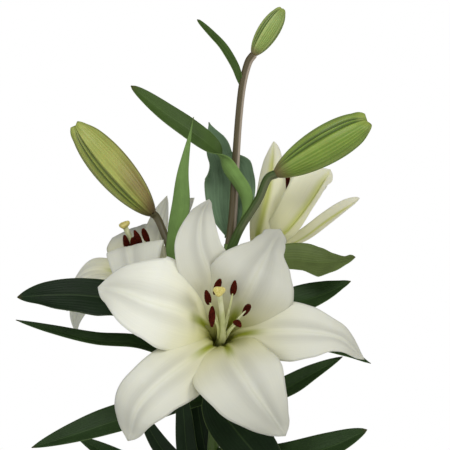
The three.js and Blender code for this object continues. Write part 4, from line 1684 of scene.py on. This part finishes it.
class LeafTone(Enum):
    """The tones of the leaves' upper faces."""

    DARK = linear(44, 66, 32)
    DEEP = linear(24, 42, 20)
    GREEN = linear(68, 92, 40)
    OLIVE = linear(96, 112, 60)
    BLUISH = linear(102, 128, 98)


@dataclass(frozen=True)
class Leaf(Blade):
    """A leaf. Its upper face looks to face[0] at its base and, past its twist, to face[1]."""

    face: tuple[Place, Place] = ((0.0, -0.7, 0.7), (0.0, -0.8, 0.6))
    twist: tuple[float, float] | None = None
    tone: LeafTone = LeafTone.DARK
    fold: float = 0.12
    rib: float = 0.35
    rib_width: float = 1.8
    rows: int = 48
    columns: int = 20

    def add_to(self, draft: Draft) -> None:
        """Adds the leaf to a draft.

        Args:
            draft: The draft of all leaves.
        """
        base, tip = (np.asarray(one) for one in self.face)

        def side_at(along: Array, forward: Array) -> Array:
            """The direction across the leaf."""
            share = (smooth(*self.twist, along) if self.twist else along)[:, None]
            return np.cross(base * (1 - share) + tip * share, forward)

        self.sheet(draft, curve_through(self.path), side_at, tone=self.tone.value)


def steady(*way: float) -> tuple[Place, Place]:
    """The face of a leaf that looks one way from its base to its tip."""
    return way, way


LEVEL = ((0.0, -0.6, 0.8), (0.0, -0.8, 0.6))
LEAVES = (
    Leaf(6.4, ((38, 0, 517), (34, -2, 529), (26, -4, 542), (17, -5, 552), (7, -4, 563)), 0.4, 0.4,
         face=((-0.3, -0.6, 0.6), (0.2, -0.8, 0.5)), tone=LeafTone.GREEN, fold=0.3),
    Leaf(16, ((33, -2, 409), (40, -8, 426), (40, -10, 441), (30, -12, 457), (17, -11, 473.5),
              (2, -9, 485.5), (-17, -5, 499), (-39.5, 0, 517)), 1.5, 0.6,
         face=((0.45, 0.85, 0.2), (0.3, -0.9, 0.25)), twist=(0.38, 0.65), tone=LeafTone.GREEN,
         trim=((0.12, 1.7, 1.7), (0.25, 1.7, 1.7), (0.4, 1.1, 1.1), (0.6, 1, 1)), rows=80),
    Leaf(13, ((24, 0, 354), (2, 1, 372), (-9.5, -9.5, 396), (-7.5, -15.5, 414), (-4, -21, 434),
              (-2.2, -23, 458), (4.8, -24, 494)), 2.0, 1.4,
         face=((0.1, 0.95, 0.0), (-0.1, 0.95, 0.1)), rows=72),
    Leaf(36, ((30, 3, 410), (29.5, 8, 431), (29, 11, 453), (21.4, 12, 470), (15, 10, 492)), 0.7, 1.1,
         face=((0.1, -0.95, 0.3), (0.0, -0.9, 0.2)), tone=LeafTone.BLUISH, wave=(3.0, 1.6, 0.1),
         trim=((0.3, 1, 1), (0.5, 1.05, 1.05), (0.56, 1.12, 1.1), (0.7, 0.73, 0.73), (0.88, 1.35, 0.95)),
         columns=32),
    Leaf(27, ((26, 3, 370), (47.5, 11, 386), (69, 14, 394), (91, 12, 393), (105, 9, 394),
              (118, 6, 397)), 0.9, 0.8, face=LEVEL, tone=LeafTone.OLIVE, wave=(1.5, 1.5, 0.3),
         trim=((0.4, 0.85, 1), (0.52, 0.95, 1), (0.64, 1.5, 0.85), (0.78, 1.2, 0.6), (0.9, 0.9, 0.35)),
         columns=28),
    Leaf(25, ((25, 2, 344), (52.5, 10, 354), (76, 14, 364), (97, 13, 371), (115, 10, 380)), 0.8, 0.85,
         face=LEVEL, trim=((0.6, 1.1, 1), (0.8, 0.85, 1), (0.92, 0.75, 0.9))),
    Leaf(18, ((21.5, -1, 297), (47, 2, 297), (70, 6, 305), (88, 8, 315), (109, 6, 327))),
    Leaf(13, ((24, 2, 330), (57, 12, 333), (88, 12, 335), (111, 4, 330), (128, -6, 323)), 0.6, 0.9),
    Leaf(24, ((19, -2, 262), (44, -18, 257), (71, -26, 259), (98, -30, 267), (124, -30, 279)),
         0.8, 0.7),
    Leaf(25, ((24, 0, 314), (0, -14, 334), (-24, -23, 352), (-46, -28, 366.5), (-70, -31, 371),
              (-94, -33, 371.3), (-116, -34, 370)), 1.4, 0.8,
         face=((0.0, -0.7, 0.7), (0.0, -0.95, 0.3)), wave=(1.2, 2.0, 0.3),
         trim=((0.5, 1, 1.15), (0.6, 1, 1.3), (0.7, 1, 1.15), (0.8, 1, 1.1), (0.9, 1, 0.9)),
         tone=LeafTone.DEEP, columns=32, rows=64),
    Leaf(13, ((22, -1, 307), (-5, -10, 325), (-32, -16, 337), (-63, -20, 340), (-93, -22, 347),
              (-118, -22, 354)), 0.5, 0.8, face=LEVEL, rows=60),
    Leaf(24, ((21, -2, 298), (-13, -8, 293), (-48, -16, 284), (-76, -22, 275.5), (-107, -24, 266))),
    Leaf(19, ((17, 2, 219), (-8, 12, 230), (-34, 18, 243.5), (-58, 22, 257), (-80, 24, 270))),
    Leaf(15, ((17, -3, 236), (1, -10, 246), (-14, -16, 260), (-25, -22, 277), (-33, -26, 296)),
         face=steady(0.3, -0.9, 0.3), tone=LeafTone.DEEP),
    Leaf(15, ((17, 0, 224), (7, -8, 240), (0, -13, 262), (-2.5, -18, 291), (-5, -22, 313)),
         face=steady(0.1, -0.95, 0.1), tone=LeafTone.DEEP),
    Leaf(37, ((17, -4, 304), (24, -15, 290), (36, -24, 275), (51, -28, 258), (69, -30, 238)), 0.6, 0.6,
         face=steady(0.2, -0.9, 0.3), tone=LeafTone.DEEP, columns=32),
    Leaf(22, ((17, 3, 240), (13, 11, 258), (9.5, 15, 276), (7, 16, 294), (6, 12, 312)),
         face=steady(-0.2, -0.95, 0.1), tone=LeafTone.DEEP),
    Leaf(19, ((24, 3, 345), (29, 25, 353), (33, 50, 352), (36, 78, 338)),
         face=steady(0.0, 0.6, 0.8)),
    Leaf(18, ((20, 3, 290), (11, 25, 300), (3, 50, 303), (-2, 76, 293)),
         face=((-0.2, 0.6, 0.8), (0.0, 0.6, 0.8))),
    Leaf(17, ((22, 2, 315), (36, 22, 323), (49, 42, 324), (60, 62, 314)),
         face=((0.3, 0.6, 0.8), (0.2, 0.6, 0.8))),
)


SEAT_LENGTH = 7.0
SEAT_REACH = 0.4
BLOOM_FOOT = 4.0


def seat(base: Place, toward: Sequence[float], below: float = 0.0) -> tuple[Place, Place]:
    """The last two places of a pedicel: a straight stretch, ending on its bloom or bud.

    Args:
        base: Where the bloom or bud begins.
        toward: The direction that it grows in.
        below: How far its foot reaches below its base.

    Returns:
        The start and the end of the straight stretch.
    """
    way = unit(toward)
    foot = np.asarray(base) - way * below
    return tuple(foot - way * SEAT_LENGTH), tuple(foot + way * SEAT_REACH)


@dataclass(frozen=True)
class LeafyStem:
    """The main stem, its pedicels and its leaves."""

    green: Colour = linear(96, 122, 56)
    dark_green: Colour = linear(58, 84, 22)
    brown_green: Colour = linear(88, 82, 52)

    def stalks(self) -> list[Stalk]:
        """The main stem and the six pedicels.

        Returns:
            The lower stem, the upper stem, and then the pedicels.
        """
        right, left, top = (seat(bud.base, np.subtract(bud.tip, bud.base)) for bud in BUDS)
        front, back_left, back_right = (seat(bloom.base, bloom.axis, BLOOM_FOOT) for bloom in BLOOMS)
        lower = ((-1.4, 0, 12.7), (8.4, 0, 139), (18, 0, 262), (23.6, 0, 336), (29.5, 0, 406))
        upper = ((29, 0, 400), (32, 0, 427), (34, 1, 465), (36, 1, 494), (38.6, 0, 517))
        swell = (3.7, 3.0, 2.9, 2.9, 3.0, 3.1)
        return [
            Stalk(lower, (4.3, 4.25, 4.2, 4.0, 3.7), self.green, steps=80, sides=32),
            Stalk((*upper, *top), (3.5, 3.1, 2.8, 2.6, 2.6, 2.7, 2.8, 2.8), self.brown_green, 80, 32),
            Stalk(((22.6, 0, 322), (20.6, -14, 327), *front), swell, self.green),
            Stalk(((24.7, 0, 350), (14, 14, 343), (-2, 26, 341), *back_left), swell, self.green),
            Stalk(((26.7, 0, 372), (31, 16, 370), (38, 34, 372), *back_right), swell, self.green),
            Stalk(((28.5, 0, 398), (37, -6, 417), (49.4, -10, 437), *right), swell, self.dark_green),
            Stalk(((25.9, 0, 363.5), (8.7, 1, 374), (-8.2, -5, 396), *left),
                  (3.3, 2.7, 2.6, 2.6, 2.7, 2.9), self.brown_green),
        ]

    def build(self, finishes: dict[str, bpy.types.Material]) -> None:
        """Makes the stem's and the leaves' pieces.

        Args:
            finishes: Materials by finish name.
        """
        stalks = self.stalks()
        for name, finish, group in (("main_stem", "stem", stalks[:2]), ("pedicels", "pedicel", stalks[2:])):
            meshes = [one.mesh(finishes[finish]) for one in group]
            settle(join_meshes(name, meshes, finishes[finish]), "leafy_stem")
        draft = Draft()
        for leaf in LEAVES:
            leaf.add_to(draft)
        settle(draft.build("leaves", finishes["leaf"]), "leafy_stem")


# ---------------------------------------------------------------- vase and water


@dataclass(frozen=True)
class Vase:
    """A tall blown vase of clear glass, with water in it."""

    wall: float = 3.0
    floor: float = 12.0
    foot: float = 33.0
    lip: float = 1.0
    hollow_rise: float = 2.0
    hollow_curve: float = 4.0
    gap: float = 0.3
    pole: float = 0.3
    water_level: float = 128.0
    water_climb: float = 1.6
    segments: int = 144
    rows: int = 96
    outside: tuple[tuple[float, float], ...] = (
        (36, 1), (40, 7), (48, 29), (52, 60), (47.5, 98), (34, 138), (23.5, 170), (20.3, 190),
        (22, 206), (27, 217),
    )

    def side(self, inward: float) -> Array:
        """Places on the vase's side as radius and height, moved inward from its outside.

        Args:
            inward: How far it is moved.

        Returns:
            Radius and height, from the foot to the lip.
        """
        curve = curve_through([(radius, 0.0, height) for radius, height in self.outside])
        share = np.linspace(0, 1, self.rows + 1)
        place, way = curve(share), tangents(curve, share)
        return np.stack([place[:, 0] - inward * way[:, 2], place[:, 2] + inward * way[:, 0]], -1)

    def turned(self, profile: Array) -> Draft:
        """Turns a profile of radius and height, foot to top, into a closed shell.

        Args:
            profile: Radius and height of each ring.

        Returns:
            A draft of one closed shell.
        """
        angle = turns(self.segments)
        radius, height = profile[:, 0, None], profile[:, 1, None]
        rings = np.stack(np.broadcast_arrays(
            radius * np.cos(angle), radius * np.sin(angle), height), -1)
        draft = Draft()
        draft.tube(rings, np.zeros_like(rings))
        return draft

    @staticmethod
    def flat(start: float, end: float, height: float, steps: int) -> Array:
        """A level stretch of a profile."""
        return np.stack([np.linspace(start, end, steps), np.full(steps, height)], -1)

    def glass(self) -> Draft:
        """Shapes the glass: foot, side, rounded lip, inner wall and floor.

        Returns:
            A draft of one closed shell.
        """
        outside = self.side(0.0)
        inside = self.side(self.wall)
        inside = inside[inside[:, 1] > self.floor + self.hollow_rise]
        turn = np.linspace(0, np.pi, 9)[1:-1, None]
        middle, half = (outside[-1] + inside[-1]) / 2, (outside[-1] - inside[-1]) / 2
        up = np.array([[0.0, self.lip]])
        lip = middle + np.cos(turn) * half + np.sin(turn) * up
        reach = inside[0][0]
        corner = curve_through([
            (*inside[0], 0.0), (reach - 0.3 * self.hollow_curve, self.floor + 0.3 * self.hollow_rise, 0.0),
            (reach - self.hollow_curve, self.floor, 0.0),
        ])(np.linspace(0, 1, 9))[1:, :2]
        foot = self.flat(self.pole, self.foot, 0.0, 8)
        floor = self.flat(corner[-1][0], self.pole, self.floor, 8)[1:]
        return self.turned(np.vstack([foot, outside, lip, inside[::-1], corner, floor]))

    def water(self) -> Draft:
        """Shapes the water, which climbs a little where it meets the glass.

        Returns:
            A draft of one closed shell.
        """
        wall = self.side(self.wall + self.gap)
        wet = wall[(wall[:, 1] > self.floor + self.hollow_rise) & (wall[:, 1] < self.water_level)]
        bottom = self.floor + self.gap
        low = self.flat(self.pole, wet[0][0] - self.hollow_curve, bottom, 8)
        edge = wet[-1][0]
        share = np.linspace(0, 1, 12)[1:]
        level = self.water_level - self.water_climb * smooth(0, 0.12, share)
        top = np.stack([edge * (1 - share) + self.pole * share, level], -1)
        return self.turned(np.vstack([low, wet, [[edge - 0.1, self.water_level]], top]))

    def build(self, finishes: dict[str, bpy.types.Material]) -> None:
        """Makes the vase's and the water's pieces.

        Args:
            finishes: Materials by finish name.
        """
        settle(self.glass().build("glass_vase", finishes["glass"]), "vase")
        settle(self.water().build("vase_water", finishes["water"]), "water")


# ---------------------------------------------------------------- the studio


@dataclass(frozen=True)
class Lamp:
    """A soft square light: its place and side in metres, its power in watts and its colour."""

    name: str
    place: Place
    power: float
    side: float
    colour: Colour


@dataclass(frozen=True)
class Studio:
    """The floor, the world, the lights and the camera."""

    lamps: tuple[Lamp, ...] = (
        Lamp("front", (-0.15, -1.25, 1.35), 9.6, 0.7, (1.0, 0.99, 0.98)),
        Lamp("right", (1.3, -1.1, 0.65), 7.5, 0.6, (1.0, 0.985, 0.97)),
        Lamp("left", (-1.3, -1.1, 0.5), 3.5, 1.0, (0.97, 0.98, 1.0)),
    )
    eye: Place = (26.4, -1575.0, 419.5)
    lens: float = 180.0
    sensor: float = 36.0
    floor_radius: float = 1.5
    backdrop: float = 1.0
    ambient: float = 0.28
    light_aim: Place = (0.03, -0.03, 0.38)

    def floor(self) -> None:
        """Lays a plain pale disc under the vase."""
        mesh = bpy.data.meshes.new("floor")
        angle = turns(96)
        rim = np.stack([np.cos(angle), np.sin(angle), 0 * angle], -1) * self.floor_radius
        mesh.from_pydata(rim.tolist(), [], [list(range(len(rim)))])
        finish = TissueFinish("pale_floor", 0.7, dark=linear(236, 236, 234), light=linear(242, 242, 240),
                              patch=6.0, relief=0.02)
        mesh.materials.append(finish.build())
        hold("floor", mesh)

    def world(self) -> None:
        """A white surrounding to look at, and a softer one to light with."""
        world = bpy.data.worlds.new("studio")
        bpy.context.scene.world = world
        world.use_nodes = True
        world.node_tree.nodes.clear()
        sketch = Sketch(world.node_tree)
        path = sketch.node("ShaderNodeLightPath").outputs
        seen = sketch.math("MAXIMUM", path["Is Camera Ray"], path["Is Transmission Ray"])
        mixed = sketch.node("ShaderNodeMixShader")
        sketch.feed(mixed.inputs[0], seen)
        for index, strength in enumerate((self.ambient, self.backdrop), 1):
            light = sketch.node("ShaderNodeBackground")
            sketch.feed(light.inputs["Color"], (1.0, 1.0, 1.0))
            sketch.feed(light.inputs["Strength"], strength)
            sketch.feed(mixed.inputs[index], light.outputs[0])
        sketch.feed(sketch.node("ShaderNodeOutputWorld").inputs["Surface"], mixed.outputs[0])

    def light(self, lamp: Lamp) -> None:
        """Hangs one lamp that looks at the blooms.

        Args:
            lamp: The lamp.
        """
        data = bpy.data.lights.new(lamp.name, "AREA")
        data.energy, data.size, data.color = lamp.power, lamp.side, lamp.colour
        held = hold(lamp.name, data)
        held.location = lamp.place
        aim = Vector(self.light_aim) - held.location
        held.rotation_euler = aim.to_track_quat("-Z", "Y").to_euler()

    def camera(self) -> None:
        """Sets the camera at the photograph's viewing angle."""
        data = bpy.data.cameras.new("camera")
        data.lens, data.sensor_width = self.lens, self.sensor
        data.clip_start, data.clip_end = 0.01, 20.0
        eye = hold("camera", data)
        eye.location = tuple(value * MM for value in self.eye)
        eye.rotation_euler = (math.pi / 2, 0.0, 0.0)
        bpy.context.scene.camera = eye

    def build(self) -> None:
        """Makes the whole studio."""
        self.camera()
        self.floor()
        self.world()
        for lamp in self.lamps:
            self.light(lamp)
        view = bpy.context.scene.view_settings
        view.view_transform = "Standard"
        view.look = "None"
        view.exposure = 0.0
        view.gamma = 1.0


def finish_set() -> dict[str, bpy.types.Material]:
    """Builds the finishes that several pieces share.

    Returns:
        Materials by name.
    """
    finishes = (
        ("white_petal", PetalFinish("white_petal", 0.5)),
        ("half_open_petal", PetalFinish(
            "half_open_petal", 0.5, white=linear(250, 249, 232), back=linear(254, 252, 222),
            cream=linear(244, 241, 186), midrib=linear(206, 212, 96), throat=linear(204, 198, 104),
            cream_reach=(0.15, 0.9), midrib_width=0.3, midrib_back=0.8, tip_shade=1.0)),
        ("leaf", LeafFinish("leaf_skin", 0.45)),
        ("stem", StalkFinish("stem_skin", 0.45)),
        ("pedicel", StalkFinish("pedicel_skin", 0.5, flush_most=0.12)),
        ("filament", TissueFinish("filament", 0.5, linear(206, 212, 150), linear(228, 230, 188), 90.0)),
        ("stigma", TissueFinish("stigma", 0.55, linear(204, 190, 96), linear(232, 220, 150), 900.0)),
        ("anther", TissueFinish("anther", 0.75, linear(50, 9, 3), linear(84, 22, 8), 700.0, 0.3)),
        ("pollen", TissueFinish("pollen", 0.8, linear(66, 16, 4), linear(106, 36, 8), 900.0, 0.1)),
        ("glass", ClearFinish("clear_glass", 0.0)),
        ("water", ClearFinish("clear_water", 0.0, bend=1.333)),
    )
    return {title: finish.build() for title, finish in finishes}


def main() -> None:
    """Builds the studio and every piece."""
    Studio().build()
    finishes = finish_set()
    Vase().build(finishes)
    LeafyStem().build(finishes)
    for bloom in BLOOMS:
        bloom.build(finishes)
    for bud in BUDS:
        bud.build()
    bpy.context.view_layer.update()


if __name__ == "__main__":
    main()
